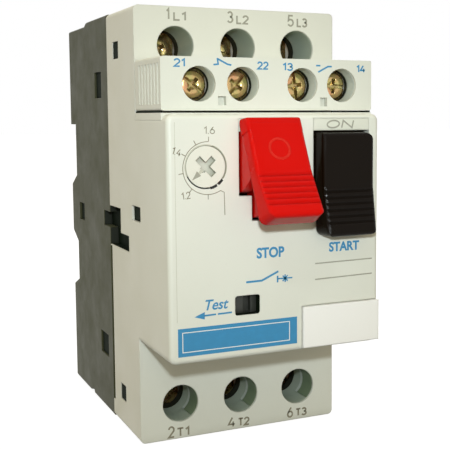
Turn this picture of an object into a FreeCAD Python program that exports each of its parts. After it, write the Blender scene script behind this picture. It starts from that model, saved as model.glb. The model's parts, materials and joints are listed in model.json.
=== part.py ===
import FreeCAD, Part
import math
import os
from FreeCAD import Vector

# Motor circuit breaker with an auxiliary contact block. Millimetres, +X right, +Y to the rear, +Z up.
# Pieces are laid out with y = 0 on the terminal face and z = 0 on the bottom face, and are moved at the
# end so that the origin lies on the rail: mid width, rail plane, rail centreline.

# Overall sizes
body_width = 44.5
body_height = 89.0
rail_to_nose = 71.0
nose_projection = 19.42
cover_depth = 20.5
rear_reach = 5.0
rail_centre_height = 47.2
wall = 1.8
nose_top_drop = 21.6
nose_height = 46.2
corner_radius = 1.0
nose_corner_radius = 1.4
nose_edge_radius = 0.9

# Poles and main terminals
pole_count = 3
side_margin = 1.85
partition = 1.2
line_terminal_drop = 7.8
load_terminal_z = 7.45
chamber_height = 12.8
divider = 1.6
access_diameter = 7.8
access_depth = 9.0
wire_slot_width = 9.2
wire_slot_depth = 5.5
terminal_plate_width = 9.2
strip_width = 7.0
strip_thickness = 1.2
strip_proud = 0.5
washer_side = 8.4
washer_thickness = 1.0
wire_gap = 4.8
screw_radius = 2.0
screw_head_radius = 3.6
screw_head_height = 2.0
screw_length = 12.0
head_sides = 24
drive_reach = 0.72
drive_slot = 1.0
drive_depth = 1.2
thread_play = 0.05

# Clearances, and how many flats stand for a round on pieces inside the body
hidden_sides = 16
tiny = 0.000001
touch_gap = 0.2
running_gap = 0.3
pin_play = 0.06

# Rear base
base_back = 2.6
rail_lower_drop = 21.0
lower_block_drop = 22.9
bump_drop = 8.9
bump_rise = 2.8
bump_slope = 2.45
rail_upper_rise = 17.9
rear_top_drop = 0.8
rear_step_y = 38.6
foot_notch_y = 37.8
foot_notch_length = 5.2
foot_notch_depth = 1.0
rib_thickness = 1.2
rib_spacing = 7.2
lip_drop = 2.4
lip_slot = 1.4
lip_inner_x = 5.0
lip_width = 10.0

# Side windows: y, z, length, height, and how far the upper ones start below the top
window_drop = 9.9
snap_drop = 17.8
cover_windows = [(11.5, body_height - window_drop, 4.2, 3.6), (-2.4, 46.0, 5.9, 3.1), (10.5, 5.7, 4.0, 3.6)]
coupling_upper = (12.0, 42.4, 8.5, 5.2)
coupling_lower = (6.0, 39.0, 14.5, 3.4)
coupling_base = (20.5, 42.7, 5.1, 3.4)
snap_windows = [(25.9, body_height - snap_drop, 5.7, 5.8), (24.1, 12.5, 6.5, 5.1)]
slit_recess = (44.3, 41.7, 4.8, 4.2)
slit_depth = 0.9
seam_groove = (19.2, 4.0, 1.3, 34.8)
seam_groove_depth = 1.0
snap_leg_thickness = 1.4
snap_side_gap = 0.7
snap_barb = 1.2

# Rocker buttons
pivot_depth = 3.22
pivot_drop = 3.8
rocker_travel = 26.0
rocker_pitch = 15.7
start_margin = 8.5
button_width = 10.9
button_draft = 8.0
button_proud = 3.03
button_top_drop = 3.6
button_length = 20.0
rib_start_drop = 10.4
rib_tilt = 11.3
rib_count = 6
rib_pitch = 1.22
rib_first = 0.92
rib_groove = 0.35
rib_groove_width = 0.8
cap_gap = 0.55
button_edge_radius = 0.8
stop_corner_radius = 1.0
start_corner_radius = 2.0
toe_corner_radius = 1.4
corner_flats = 7
cheek_radius = 11.2
stem_radius = 16.0
stem_width = 6.7
hub_radius = 1.7
axle_radius = 1.0
flag_height = 2.4
flag_recess = 0.2
flag_thickness = 0.6
flag_space = 2.75
opening_drop = 0.8
panel_play = 0.3
axle_rib_drop = 4.6
axle_rib_depth = 4.2
axle_left_rib = 1.4
axle_middle_rib = 2.5

# Setting dial
dial_x = -14.8
dial_drop = 9.6
dial_radius = 3.85
dial_cup_radius = 4.0
dial_cup_depth = 4.4
dial_floor = 1.6
dial_boss_radius = 5.2
dial_shaft_radius = 2.2
dial_slot_width = 1.2
dial_slot_length = 4.4
dial_slot_depth = 0.9
dial_pointer_angle = 225.0
pointer_depth = 0.35
cam_radius = 3.4
cam_offset = 0.8
cam_thickness = 2.0

# Test tab and trip slide
test_x = -9.2
test_drop = 38.0
test_width = 5.14
test_height = 3.75
test_corner_radius = 0.5
test_travel = 3.0
tab_thickness = 2.9
tab_overlap = 1.2
tab_slot_width = 1.4
tab_slot_depth = 1.2
arm_width = 1.6
arm_height = 2.4
arm_x = -5.0
slide_drop = 22.8
slide_height = 2.4
slide_inset = 2.3
slide_depth = 4.6
slide_end_gap = 3.45
slide_finger = 1.2
slide_finger_drop = 3.1
slide_lug = 3.2

# Marker plate
marker_edge = 0.05
marker_lift = 0.2
marker_width = 17.3
marker_height = 8.6
marker_thickness = 0.85
marker_recess = 0.45

# Contacts and carrier
upper_contact_drop = 20.0
contact_span = 18.0
contact_depth = 17.0
tip_side = 3.2
tip_height = 0.8
bridge_width = 5.2
bridge_thickness = 1.2
bridge_overhang = 1.8
carrier_travel = 4.0
carrier_inset = 6.3
carrier_depth = 4.2
carrier_height = 7.0
carrier_end_gap = 1.5
stirrup_arm = 1.0
stirrup_inner = 6.0
stirrup_height = 4.0
overtravel = 0.9
spring_radius = 1.6
spring_wire = 0.45
spring_turns = 3
spring_sides = 6

# Operating lever
lever_pivot_y = 2.0
lever_pivot_drop = 27.4
lever_width = 5.0
lever_thickness = 2.4
lever_tail = 3.5
lever_head = 3.0
drive_pin_radius = 1.0
drive_fork = 1.5
drive_rod_height = 4.0
fork_depth = 6.0
frame_plate = 1.2
frame_gap = 3.6
frame_below = 3.8
frame_above = 6.0
frame_raise = 3.6
frame_raise_y = -4.0
frame_rear_y = 14.6

# Arc splitters
splitter_count = 4
splitter_pitch = 2.8
splitter_thickness = 0.8
splitter_notch = 3.0
upper_stack_drop = 7.5
lower_stack_drop = 3.0

# Magnetic trips
coil_drop = 12.4
coil_inset = 8.5
coil_length = 11.0
coil_radius = 5.0
coil_bore = 2.7
coil_band = 1.4
coil_band_depth = 0.5
yoke_plate = 1.2
yoke_width = 9.0
yoke_gap = 0.3
plunger_radius = 2.4
plunger_proud = 3.8
plunger_length = 10.0
plunger_travel = 2.0

# Bimetals
bimetal_thickness = 1.0
bimetal_width = 3.8
bimetal_lift = 2.4
bimetal_tip_gap = 0.6
riser_gap = 1.1
weld_length = 5.0
riser_width = 5.0
heater_lift = 2.0
heater_tip_gap = 5.9
heater_turns = 4
heater_sleeve = 0.5
heater_ribbon = 0.5
heater_ribbon_width = 1.5

# Auxiliary block
aux_front = -16.4
aux_gap = 0.7
aux_height = 9.95
aux_rear = -0.4
aux_wall = 1.2
aux_x = [-14.8, -5.9, 6.7, 15.4]
aux_screw_lift = 4.95
aux_access_diameter = 6.6
aux_roof = 4.8
aux_chamber_width = 7.8
aux_back_thickness = 2.0
aux_slot_width = 5.0
aux_head_front = -13.0
aux_head_radius = 2.95
aux_head_height = 1.8
aux_washer_side = 6.0
aux_washer_thickness = 0.8
aux_strip_y = -3.6
aux_strip_thickness = 0.8
aux_strip_width = 6.4
aux_screw_radius = 1.5
aux_rib_pitch = 1.9
aux_rib_width = 0.9
aux_rib_depth = 0.3
aux_rib_count = 7
aux_clip_windows = [(-11.0, 1.0, 1.6, 1.65), (10.6, 0.8, 1.5, 1.7)]
aux_clip_depth = 1.2
aux_slider_x = 0.4
aux_slider_width = 2.6
aux_slider_height = 6.0
aux_bridge_y = -6.6
aux_bridge_depth = 2.0
aux_bridge_thickness = 0.6
aux_bridge_reach = 1.2
aux_pass_height = 2.7
aux_travel = 0.7
aux_tab_width = 2.4
aux_leg_x = 17.0
aux_leg_width = 2.0
aux_leg_height = 1.6
aux_leg_lift = 1.7
aux_leg_reach = 3.4

# Rail latch
latch_width = 16.0
latch_drop = 15.8
latch_bottom = 0.8
latch_floor = 0.8
latch_thickness = 3.5
latch_hook_gap = 1.4
latch_hook_height = 4.8
latch_travel = 3.4
latch_tongue = 0.9
latch_tongue_thickness = 1.2
latch_window_width = 5.2
latch_window_bottom = 6.0
latch_window_top = 20.0
latch_boss_height = 2.0
latch_spring_radius = 1.45
latch_spring_turns = 5

# Places that follow from the sizes above
half_width = body_width / 2
inner = half_width - wall
nose_front = -nose_projection
nose_top = body_height - nose_top_drop
nose_bottom = nose_top - nose_height
panel_back = nose_front + wall
rail_y = rail_to_nose - nose_projection
rear_y = rail_y + rear_reach
base_floor = rail_y - base_back
rail_lower_z = rail_centre_height - rail_lower_drop
lower_block_z = rail_centre_height - lower_block_drop
bump_low_z = rail_centre_height - bump_drop
bump_high_z = rail_centre_height + bump_rise
rail_upper_z = rail_centre_height + rail_upper_rise
pole_pitch = (body_width - 2 * side_margin) / pole_count
pole_x = [(index - (pole_count - 1) / 2) * pole_pitch for index in range(pole_count)]
pole_half = (pole_pitch - partition) / 2
line_terminal_z = body_height - line_terminal_drop
chamber_low = wall
chamber_high = body_height - wall - chamber_height
strip_front = cover_depth - strip_proud
strip_back = strip_front + strip_thickness
washer_front = strip_front - wire_gap - washer_thickness
head_front = washer_front - screw_head_height
pivot_y = nose_front + pivot_depth
pivot_z = nose_top - pivot_drop
start_x = half_width - start_margin
stop_x = start_x - rocker_pitch
button_top = nose_top - button_top_drop
button_lip = button_top - button_length
rib_start = button_top - rib_start_drop
button_front = nose_front - button_proud
button_base_width = button_width + 2 * (button_proud + cap_gap) * math.tan(math.radians(button_draft))
opening_top = nose_top - opening_drop
flag_z = opening_top - flag_height
dial_z = nose_top - dial_drop
test_window = (test_x, nose_top - test_drop, test_width, test_height)
slide_bottom = nose_top - slide_drop
slide_y = cover_depth - slide_inset
slide_half_length = inner - slide_end_gap
marker_left = half_width - marker_edge - marker_width
marker_bottom = nose_bottom + marker_lift
upper_contact_z = body_height - upper_contact_drop
lower_contact_z = upper_contact_z - contact_span
contact_face_y = cover_depth + contact_depth
strip_drop_y = contact_face_y + tip_height
bridge_back = contact_face_y - tip_height
bridge_front = bridge_back - bridge_thickness
carrier_y = cover_depth + carrier_inset
carrier_z = (upper_contact_z + lower_contact_z) / 2
carrier_back = carrier_y + carrier_depth
lever_pivot_z = nose_top - lever_pivot_drop
lever_reach = carrier_z - lever_pivot_z
frame_bottom = lever_pivot_z - frame_below
frame_top = lever_pivot_z + frame_above
drive_pin_y = lever_pivot_y + carrier_travel / 2
drive_pin_z = lever_pivot_z + lever_reach
coil_z = lower_contact_z - coil_drop
coil_y = cover_depth + coil_inset
yoke_back = coil_y + coil_length + yoke_gap + yoke_plate
plunger_front_y = coil_y - plunger_proud
splitter_y = yoke_back
upper_stack_z = upper_contact_z - upper_stack_drop
lower_stack_z = lower_contact_z - lower_stack_drop
riser_y = strip_back + riser_gap
bimetal_bottom = chamber_low + chamber_height + bimetal_lift
bimetal_top = slide_bottom - bimetal_tip_gap
riser_top = bimetal_bottom + weld_length
heater_bottom = riser_top + heater_lift
heater_top = slide_bottom - slide_finger_drop - heater_tip_gap
heater_pitch = (heater_top - heater_bottom) / heater_turns
aux_bottom = nose_top + aux_gap
aux_top = aux_bottom + aux_height
aux_screw_z = aux_bottom + aux_screw_lift
aux_leg_z = aux_bottom + aux_leg_lift
aux_strip_back = aux_strip_y + aux_strip_thickness
aux_back_front = aux_rear - aux_back_thickness
latch_top = rail_centre_height - latch_drop
latch_back = rail_y + latch_floor + latch_thickness
spring_centre_y = rail_y + latch_floor + latch_thickness / 2 + touch_gap


def block(x0, x1, y0, y1, z0, z1):
    return Part.makeBox(x1 - x0, y1 - y0, z1 - z0, Vector(x0, y0, z0))


def rod_x(y, z, x0, x1, radius):
    return Part.makeCylinder(radius, x1 - x0, Vector(x0, y, z), Vector(1, 0, 0))


def rod_y(x, z, y0, y1, radius):
    return Part.makeCylinder(radius, y1 - y0, Vector(x, y0, z), Vector(0, 1, 0))


def ring_points(u, v, radius, sides):
    turns = [2 * math.pi * index / sides for index in range(sides)]
    return [(u + radius * math.cos(turn), v + radius * math.sin(turn)) for turn in turns]


def prism(corners, along):
    outline = Part.makePolygon(corners + corners[:1])
    return Part.Face(Part.Wire(outline.Edges)).extrude(along)


def slab_x(points, x0, x1):
    return prism([Vector(x0, y, z) for y, z in points], Vector(x1 - x0, 0, 0))


def slab_y(points, y0, y1):
    return prism([Vector(x, y0, z) for x, z in points], Vector(0, y1 - y0, 0))


def slab_z(points, z0, z1):
    return prism([Vector(x, y, z0) for x, y in points], Vector(0, 0, z1 - z0))


def flat_rod_y(x, z, y0, y1, radius, sides=hidden_sides):
    return slab_y(ring_points(x, z, radius, sides), y0, y1)


def flat_bore_y(x, z, y0, y1, radius):
    # The flats, not the corners, lie at the given radius.
    return flat_rod_y(x, z, y0, y1, radius / math.cos(math.pi / hidden_sides))


def flat_rod_x(y, z, x0, x1, radius):
    return slab_x(ring_points(y, z, radius, hidden_sides), x0, x1)


def joined(shapes):
    return shapes[0].multiFuse(shapes[1:]).removeSplitter()


def mirrored(shape):
    return shape.mirror(Vector(0, 0, 0), Vector(1, 0, 0))


def both_sides(shape):
    return [shape, mirrored(shape)]


def edges_along(shape, axis, test):
    chosen = []
    for edge in shape.Edges:
        ends = [vertex.Point for vertex in edge.Vertexes]
        if len(ends) != 2:
            continue
        step = ends[1] - ends[0]
        straight = abs(abs(step.dot(axis)) - step.Length) < tiny
        if straight and test((ends[0] + ends[1]) * 0.5):
            chosen.append(edge)
    return chosen


def at_body_end(point, reach):
    return abs(point.x) > inner and (point.z < reach or point.z > body_height - wall)


def side_cut(window, depth):
    y, z, length, height = window
    return block(-half_width, -half_width + depth, y, y + length, z, z + height)


def helix_spring(centre_y, z0, z1, radius, wire, turns):
    # A round spring drawn with flat sides: one square-wire run per side, ends inside z0 and z1.
    half = wire / 2
    stations = turns * spring_sides
    rise = (z1 - z0 - wire) / stations
    runs = []
    corners = []
    for index in range(stations + 1):
        angle = 2 * math.pi * index / spring_sides
        z = z0 + half + rise * index
        square = []
        for out, up in ((-half, -half), (half, -half), (half, half), (-half, half)):
            reach = radius + out
            square.append(Vector(reach * math.cos(angle), centre_y + reach * math.sin(angle), z + up))
        corners.append(square)
    for start, end in zip(corners, corners[1:]):
        for side in range(4):
            after = (side + 1) % 4
            runs.append(Part.Face(Part.makePolygon([start[side], start[after], end[after], start[side]])))
            runs.append(Part.Face(Part.makePolygon([start[side], end[after], end[side], start[side]])))
    for square in (corners[0], corners[-1]):
        runs.append(Part.Face(Part.makePolygon(square + square[:1])))
    solid = Part.Solid(Part.Shell(runs))
    if solid.Volume < 0:
        solid.reverse()
    return solid


def terminal_ends():
    # Each end of the body: screw height, chamber floor and roof, outer face, and the way outwards.
    low = (load_terminal_z, chamber_low, chamber_low + chamber_height, 0.0, -1)
    high = (line_terminal_z, chamber_high, chamber_high + chamber_height, body_height, 1)
    return [low, high]


def cover_block():
    side = [
        (cover_depth, 0),
        (0, 0),
        (0, nose_bottom),
        (nose_front, nose_bottom),
        (nose_front, nose_top),
        (0, nose_top),
        (0, body_height),
        (cover_depth, body_height),
    ]
    shape = slab_x(side, -half_width, half_width)
    long_y = Vector(0, 1, 0)
    ends = edges_along(shape, long_y, lambda p: at_body_end(p, wall))
    shape = shape.makeFillet(corner_radius, ends)
    nose = edges_along(shape, long_y, lambda p: abs(p.x) > inner and p.y < 0)
    shape = shape.makeFillet(nose_corner_radius, nose)
    front = [edge for edge in shape.Edges if edge.BoundBox.YMax < nose_front + tiny]
    return shape.makeFillet(nose_edge_radius, front)


def cover_spaces():
    low_wall = chamber_low + chamber_height + divider
    high_wall = chamber_high - divider
    spaces = [
        block(-inner, inner, wall, cover_depth, low_wall, high_wall),
        block(-inner, inner, panel_back, wall, nose_bottom + wall, nose_top - wall),
    ]
    for x in pole_x:
        for z, floor, roof, face, way in terminal_ends():
            spaces.append(block(x - pole_half, x + pole_half, access_depth, cover_depth, floor, roof))
            spaces.append(rod_y(x, z, 0, access_depth, access_diameter / 2))
            low, high = sorted((face, face - way * wall))
            half = wire_slot_width / 2
            spaces.append(block(x - half, x + half, cover_depth - wire_slot_depth, cover_depth, low, high))
    for window in cover_windows + [coupling_upper, coupling_lower]:
        spaces += both_sides(side_cut(window, wall))
    return spaces + both_sides(side_cut(seam_groove, seam_groove_depth))


def panel_opening(x):
    # Stepped hole for one rocker, with a shallow flag field left above it.
    half = button_base_width / 2 + panel_play
    flag_back = nose_front + flag_recess + flag_thickness
    wide_bottom = pivot_z - cheek_radius - panel_play
    narrow_bottom = pivot_z - stem_radius - panel_play
    stem = stem_width / 2 + panel_play
    wide = block(x - half, x + half, nose_front, panel_back, wide_bottom, flag_z)
    narrow = block(x - stem, x + stem, nose_front, panel_back, narrow_bottom, wide_bottom)
    field = block(x - half, x + half, nose_front, nose_front + flag_recess, flag_z, opening_top)
    behind = block(x - half, x + half, flag_back, flag_back + flag_space, flag_z, opening_top)
    return [wide, narrow, field, behind]


def panel_spaces():
    spaces = panel_opening(stop_x) + panel_opening(start_x)
    spaces.append(rod_y(dial_x, dial_z, nose_front, nose_front + dial_cup_depth, dial_cup_radius))
    floor_y = nose_front + dial_cup_depth
    spaces.append(rod_y(dial_x, dial_z, floor_y, floor_y + dial_floor, dial_shaft_radius + pin_play))
    x, z, width, height = test_window
    test_hole = block(x, x + width, nose_front, panel_back, z, z + height)
    corners = edges_along(test_hole, Vector(0, 1, 0), lambda p: True)
    spaces.append(test_hole.makeFillet(test_corner_radius, corners))
    spaces.append(block(marker_left, half_width, nose_front, nose_front + marker_recess,
                        marker_bottom, marker_bottom + marker_height))
    play = touch_gap
    reach = aux_leg_width / 2 + play
    leg_top = aux_leg_z + aux_leg_height + play
    leg_hole = block(aux_leg_x - reach, aux_leg_x + reach, 0, wall, aux_leg_z - play, leg_top)
    barb_room = block(aux_leg_x - reach, aux_leg_x + reach, wall, aux_leg_reach + play, aux_leg_z - play,
                      leg_top + aux_wall / 2)
    return spaces + both_sides(leg_hole) + both_sides(barb_room)


def axle_ribs():
    # Ears that carry the button axle, hung from the nose roof behind the panel.
    half = button_base_width / 2 + panel_play
    left = stop_x - half
    middle = (stop_x + start_x) / 2
    right = start_x + half
    spans = [
        (left - axle_left_rib - touch_gap, left - touch_gap),
        (middle - axle_middle_rib / 2, middle + axle_middle_rib / 2),
        (right + touch_gap, inner + touch_gap),
    ]
    roof = nose_top - wall
    ears = [block(x0, x1, panel_back, panel_back + axle_rib_depth, roof - axle_rib_drop, roof + touch_gap)
            for x0, x1 in spans]
    return ears, spans[0][0], inner


def snap_legs():
    legs = []
    outer = inner - touch_gap
    for y, z, length, height in snap_windows:
        z0 = z + snap_side_gap
        z1 = z + height - snap_side_gap
        tip = y + length + snap_side_gap
        leg = block(outer - snap_leg_thickness, outer, cover_depth - wall, tip, z0, z1)
        root = block(outer - snap_leg_thickness, inner + touch_gap, cover_depth - 2 * wall,
                     cover_depth - touch_gap, z0, z1)
        front = y + touch_gap
        point = outer + snap_barb
        barb = [(outer, front), (point, front), (point, front + wall), (outer, tip - wall)]
        legs += both_sides(joined([leg, root, slab_z(barb, z0, z1)]))
    return legs


def front_cover():
    shape = cover_block()
    shape = shape.cut(Part.makeCompound(cover_spaces()))
    ears, axle_left, axle_right = axle_ribs()
    boss_back = nose_front + dial_cup_depth + dial_floor
    boss = flat_rod_y(dial_x, dial_z, panel_back - touch_gap, boss_back, dial_boss_radius)
    shape = joined([shape, boss] + ears + snap_legs())
    shape = shape.cut(Part.makeCompound(panel_spaces()))
    return shape.cut(flat_rod_x(pivot_y, pivot_z, axle_left, axle_right, axle_radius))


def button_axle():
    ears, axle_left, axle_right = axle_ribs()
    return flat_rod_x(pivot_y, pivot_z, axle_left, axle_right, axle_radius)


def corner_waste(way, level, up, radius, run):
    # What lies outside the rounded corner of a cap, along the drafted edge that runs forward.
    back = nose_front - cap_gap
    edge_x = way * button_base_width / 2
    arc_x = edge_x - way * radius
    arc_z = level - up * radius
    corners = [Vector(edge_x, back, level)]
    for index in range(corner_flats + 1):
        angle = math.pi / 2 * index / corner_flats
        out = way * radius * math.cos(angle)
        rise = up * radius * math.sin(angle)
        corners.append(Vector(arc_x + out, back, arc_z + rise))
    slope = math.tan(math.radians(button_draft))
    return prism(corners, Vector(-way * slope, -1, 0) * run)


def rocker(x, outer_corner):
    # One rocker in its pressed-in pose: ribbed cap, two cheeks and a narrower stem on a common hub.
    half = button_base_width / 2
    stem_half = stem_width / 2
    cap_back = nose_front - cap_gap
    toe = button_front - (rib_start - button_lip) * math.tan(math.radians(rib_tilt))
    cap_side = [
        (cap_back, button_top),
        (button_front, button_top),
        (button_front, rib_start),
        (toe, button_lip),
        (cap_back, button_lip),
    ]
    cap = slab_x(cap_side, -half, half)
    slope = math.tan(math.radians(button_draft))
    tip_y = toe - wall
    tip_half = half - (cap_back - tip_y) * slope
    plan = [(-tip_half, tip_y), (tip_half, tip_y), (half, cap_back), (-half, cap_back)]
    cap = cap.common(slab_z(plan, button_lip, button_top))
    rounded = [edge for edge in cap.Edges if edge.BoundBox.YMax < cap_back - cap_gap]
    cap = cap.makeFillet(button_edge_radius, rounded)
    tilt = math.radians(rib_tilt)
    down = (-math.sin(tilt), -math.cos(tilt))
    into = (math.cos(tilt), -math.sin(tilt))
    grooves = []
    for index in range(rib_count):
        along = rib_first + rib_pitch * index
        corners = []
        for shift, depth in ((-1, -1), (0, 1), (1, -1)):
            step = along + shift * rib_groove_width
            y = button_front + step * down[0] + depth * rib_groove * into[0]
            z = rib_start + step * down[1] + depth * rib_groove * into[1]
            corners.append((y, z))
        grooves.append(slab_x(corners, -half, half))
    run = cap_back - tip_y
    waste = [corner_waste(1, button_top, 1, outer_corner, run)]
    waste += [corner_waste(way, button_lip, -1, toe_corner_radius, run) for way in (-1, 1)]
    cap = cap.cut(Part.makeCompound(grooves)).cut(Part.makeCompound(waste))
    turn = math.radians(rocker_travel)
    inward = (math.sin(turn), -math.cos(turn))
    body = [cap, rod_x(pivot_y, pivot_z, -half, half, hub_radius)]
    for radius, width in ((cheek_radius, half), (stem_radius, stem_half)):
        far = radius + wall
        fan = [
            (pivot_y, pivot_z - hub_radius / 2),
            (cap_back - touch_gap, pivot_z - hub_radius / 2),
            (cap_back - touch_gap, pivot_z - far),
            (pivot_y, pivot_z - far),
            (pivot_y + far * inward[0], pivot_z + far * inward[1]),
        ]
        body.append(slab_x(fan, -width, width).common(rod_x(pivot_y, pivot_z, -width, width, radius)))
    shape = joined(body).cut(rod_x(pivot_y, pivot_z, -half, half, axle_radius + pin_play))
    shape.translate(Vector(x, 0, 0))
    return shape


def stop_button():
    shape = rocker(stop_x, stop_corner_radius)
    shape.rotate(Vector(0, pivot_y, pivot_z), Vector(1, 0, 0), -rocker_travel)
    return shape


def start_button():
    return rocker(start_x, start_corner_radius)


def setting_dial():
    face = nose_front
    floor_y = nose_front + dial_cup_depth
    disc = rod_y(dial_x, dial_z, face, floor_y - running_gap, dial_radius)
    cam_y = floor_y + dial_floor + running_gap
    shaft = rod_y(dial_x, dial_z, floor_y - running_gap, cam_y, dial_shaft_radius)
    cam = flat_rod_y(dial_x + cam_offset, dial_z, cam_y, cam_y + cam_thickness, cam_radius)
    shape = joined([disc, shaft, cam])
    half = dial_slot_width / 2
    reach = dial_slot_length / 2
    cross = joined([
        block(-reach, reach, face, face + dial_slot_depth, -half, half),
        block(-half, half, face, face + dial_slot_depth, -reach, reach),
    ])
    tip = dial_radius - half
    head = [(tip, 0), (reach, 2 * half), (reach, -2 * half)]
    pointer = slab_y(head, face, face + pointer_depth)
    marks = Part.makeCompound([cross, pointer])
    marks.rotate(Vector(0, 0, 0), Vector(0, -1, 0), dial_pointer_angle)
    marks.translate(Vector(dial_x, 0, dial_z))
    return shape.cut(marks)


def test_tab():
    x, z, width, height = test_window
    front = panel_back + touch_gap
    back = front + tab_thickness
    plate = block(x - tab_overlap, x + width + tab_overlap + test_travel, front, back, z - tab_overlap,
                  z + height + tab_overlap)
    slot_x = x + width / 2
    plate = plate.cut(block(slot_x, slot_x + tab_slot_width, front, front + tab_slot_depth, z, z + height))
    mid = z + height / 2
    lug_front = slide_y - slide_lug
    low = mid - arm_height / 2
    arm_back = slide_y - touch_gap
    arm = block(arm_x, arm_x + arm_width, back - wall, arm_back, low, low + arm_height)
    riser = block(arm_x, arm_x + arm_width, lug_front, arm_back, low, slide_bottom + slide_height)
    return joined([plate, arm, riser])


def trip_slide():
    pieces = [block(-slide_half_length, slide_half_length, slide_y, slide_y + slide_depth, slide_bottom,
                    slide_bottom + slide_height)]
    lug_right = arm_x - touch_gap
    pieces.append(block(lug_right - arm_width, lug_right, slide_y - slide_lug, slide_y, slide_bottom,
                        slide_bottom + slide_height))
    for x in pole_x:
        right = x - bimetal_thickness / 2 - running_gap
        pieces.append(block(right - slide_finger, right, slide_y + touch_gap, slide_y + slide_depth,
                            slide_bottom - slide_finger_drop, slide_bottom))
    return joined(pieces)


def marker_plate():
    back = nose_front + marker_recess
    return block(marker_left + touch_gap, marker_left + marker_width, back - marker_thickness, back,
                 marker_bottom + touch_gap, marker_bottom + marker_height - touch_gap)


def base_block():
    side = [
        (cover_depth, 0),
        (foot_notch_y, 0),
        (foot_notch_y + foot_notch_depth, foot_notch_depth),
        (foot_notch_y + foot_notch_length, 0),
        (rear_y, 0),
        (rear_y, lower_block_z),
        (rail_y, rail_lower_z),
        (rail_y, bump_low_z - bump_slope),
        (rear_y, bump_low_z),
        (rear_y, bump_high_z),
        (rail_y, bump_high_z + bump_slope),
        (rail_y, rail_upper_z),
        (rear_y, rail_upper_z),
        (rear_y, body_height - rear_top_drop),
        (rear_step_y + 2 * rear_top_drop, body_height - rear_top_drop),
        (rear_step_y, body_height),
        (cover_depth, body_height),
    ]
    shape = slab_x(side, -half_width, half_width)
    corners = edges_along(shape, Vector(0, 1, 0), lambda p: at_body_end(p, tiny))
    shape = shape.makeFillet(corner_radius / 2, corners)
    for side_x in (-1, 1):
        x0 = side_x * (lip_inner_x + lip_width / 2) - lip_width / 2
        lip = block(x0, x0 + lip_width, rail_y + lip_slot, rear_y, rail_upper_z - lip_drop, rail_upper_z)
        shape = shape.fuse(lip)
    return shape.removeSplitter()


def base_partitions():
    walls = []
    for x in (-pole_pitch / 2, pole_pitch / 2):
        wall_block = block(x - partition / 2, x + partition / 2, cover_depth, base_floor,
                           wall, body_height - wall)
        reach = carrier_height / 2 + running_gap
        carrier_slot = block(x - partition, x + partition, cover_depth, carrier_back + running_gap,
                             carrier_z - reach, carrier_z + reach)
        slide_slot = block(x - partition, x + partition, cover_depth, slide_y + slide_depth + running_gap,
                           slide_bottom - touch_gap, slide_bottom + slide_height + touch_gap)
        walls.append(wall_block.cut(Part.makeCompound([carrier_slot, slide_slot])))
    return walls


def base_ribs():
    ribs = []
    for x in pole_x:
        for side in (-1, 1):
            x0 = x + side * rib_spacing / 2 - rib_thickness / 2
            low_top = chamber_low + chamber_height - 2 * strip_thickness
            high_bottom = chamber_high + 2 * strip_thickness
            ribs.append(block(x0, x0 + rib_thickness, strip_back, base_floor, wall, low_top))
            ribs.append(block(x0, x0 + rib_thickness, strip_back, base_floor,
                              high_bottom, body_height - wall))
    return ribs


def latch_channel():
    half = latch_width / 2 + touch_gap
    floor_y = rail_y + latch_floor
    tongue_y = rail_y + latch_floor + (latch_thickness - latch_tongue_thickness) / 2
    groove_half = half + latch_tongue
    return [
        block(-half, half, floor_y - touch_gap, rear_y, 0, rail_lower_z),
        block(-groove_half, groove_half, tongue_y - touch_gap,
              tongue_y + latch_tongue_thickness + touch_gap, 0, rail_lower_z),
    ]


def rear_base():
    shape = base_block()
    shape = shape.cut(block(-inner, inner, cover_depth, base_floor, wall, body_height - wall))
    cuts = latch_channel()
    for window in snap_windows:
        cuts += both_sides(side_cut(window, wall))
    cuts += both_sides(side_cut(coupling_base, wall))
    cuts += both_sides(side_cut(slit_recess, slit_depth))
    shape = shape.cut(Part.makeCompound(cuts))
    boss_half = latch_window_width / 2 - running_gap
    boss_bottom = latch_window_bottom + running_gap
    boss = block(-boss_half, boss_half, rail_y, latch_back - running_gap, boss_bottom,
                 boss_bottom + latch_boss_height)
    return joined([shape, boss] + base_partitions() + base_ribs())


def rail_latch():
    half = latch_width / 2
    front = rail_y + latch_floor
    hook_front = rail_y + latch_hook_gap
    hook_bottom = latch_top - latch_hook_height
    side = [
        (front, latch_bottom),
        (latch_back, latch_bottom),
        (latch_back, latch_top - latch_hook_height / 2),
        (hook_front + wall / 2, latch_top),
        (hook_front, latch_top),
        (hook_front, hook_bottom),
        (front, hook_bottom),
    ]
    shape = slab_x(side, -half, half)
    tongue_y = front + (latch_thickness - latch_tongue_thickness) / 2
    tongue_half = half + latch_tongue
    tongue = block(-tongue_half, tongue_half, tongue_y, tongue_y + latch_tongue_thickness, latch_bottom,
                   lower_block_z - wall)
    window_half = latch_window_width / 2
    window = block(-window_half, window_half, front, latch_back, latch_window_bottom, latch_window_top)
    return joined([shape, tongue]).cut(window)


def latch_spring():
    bottom = latch_window_bottom + running_gap + latch_boss_height
    return helix_spring(spring_centre_y, bottom, latch_window_top, latch_spring_radius, spring_wire,
                        latch_spring_turns)


def strip_plate(x, z, floor, roof):
    plate = block(x - terminal_plate_width / 2, x + terminal_plate_width / 2, strip_front, strip_back,
                  floor + touch_gap, roof - touch_gap)
    return plate.cut(flat_bore_y(x, z, strip_front, strip_back, screw_radius + thread_play))


def contact_tip(x, z):
    half = tip_side / 2
    return block(x - half, x + half, contact_face_y, strip_drop_y, z - half, z + half)


def line_strip(x):
    half = strip_width / 2
    z, floor, roof, face, way = terminal_ends()[1]
    level = floor + touch_gap
    drop_back = strip_drop_y + strip_thickness
    run = block(x - half, x + half, strip_front, drop_back, level, level + strip_thickness)
    drop = block(x - half, x + half, strip_drop_y, drop_back, upper_contact_z - tip_side / 2,
                 level + strip_thickness)
    return joined([strip_plate(x, z, floor, roof), run, drop, contact_tip(x, upper_contact_z)])


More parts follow.
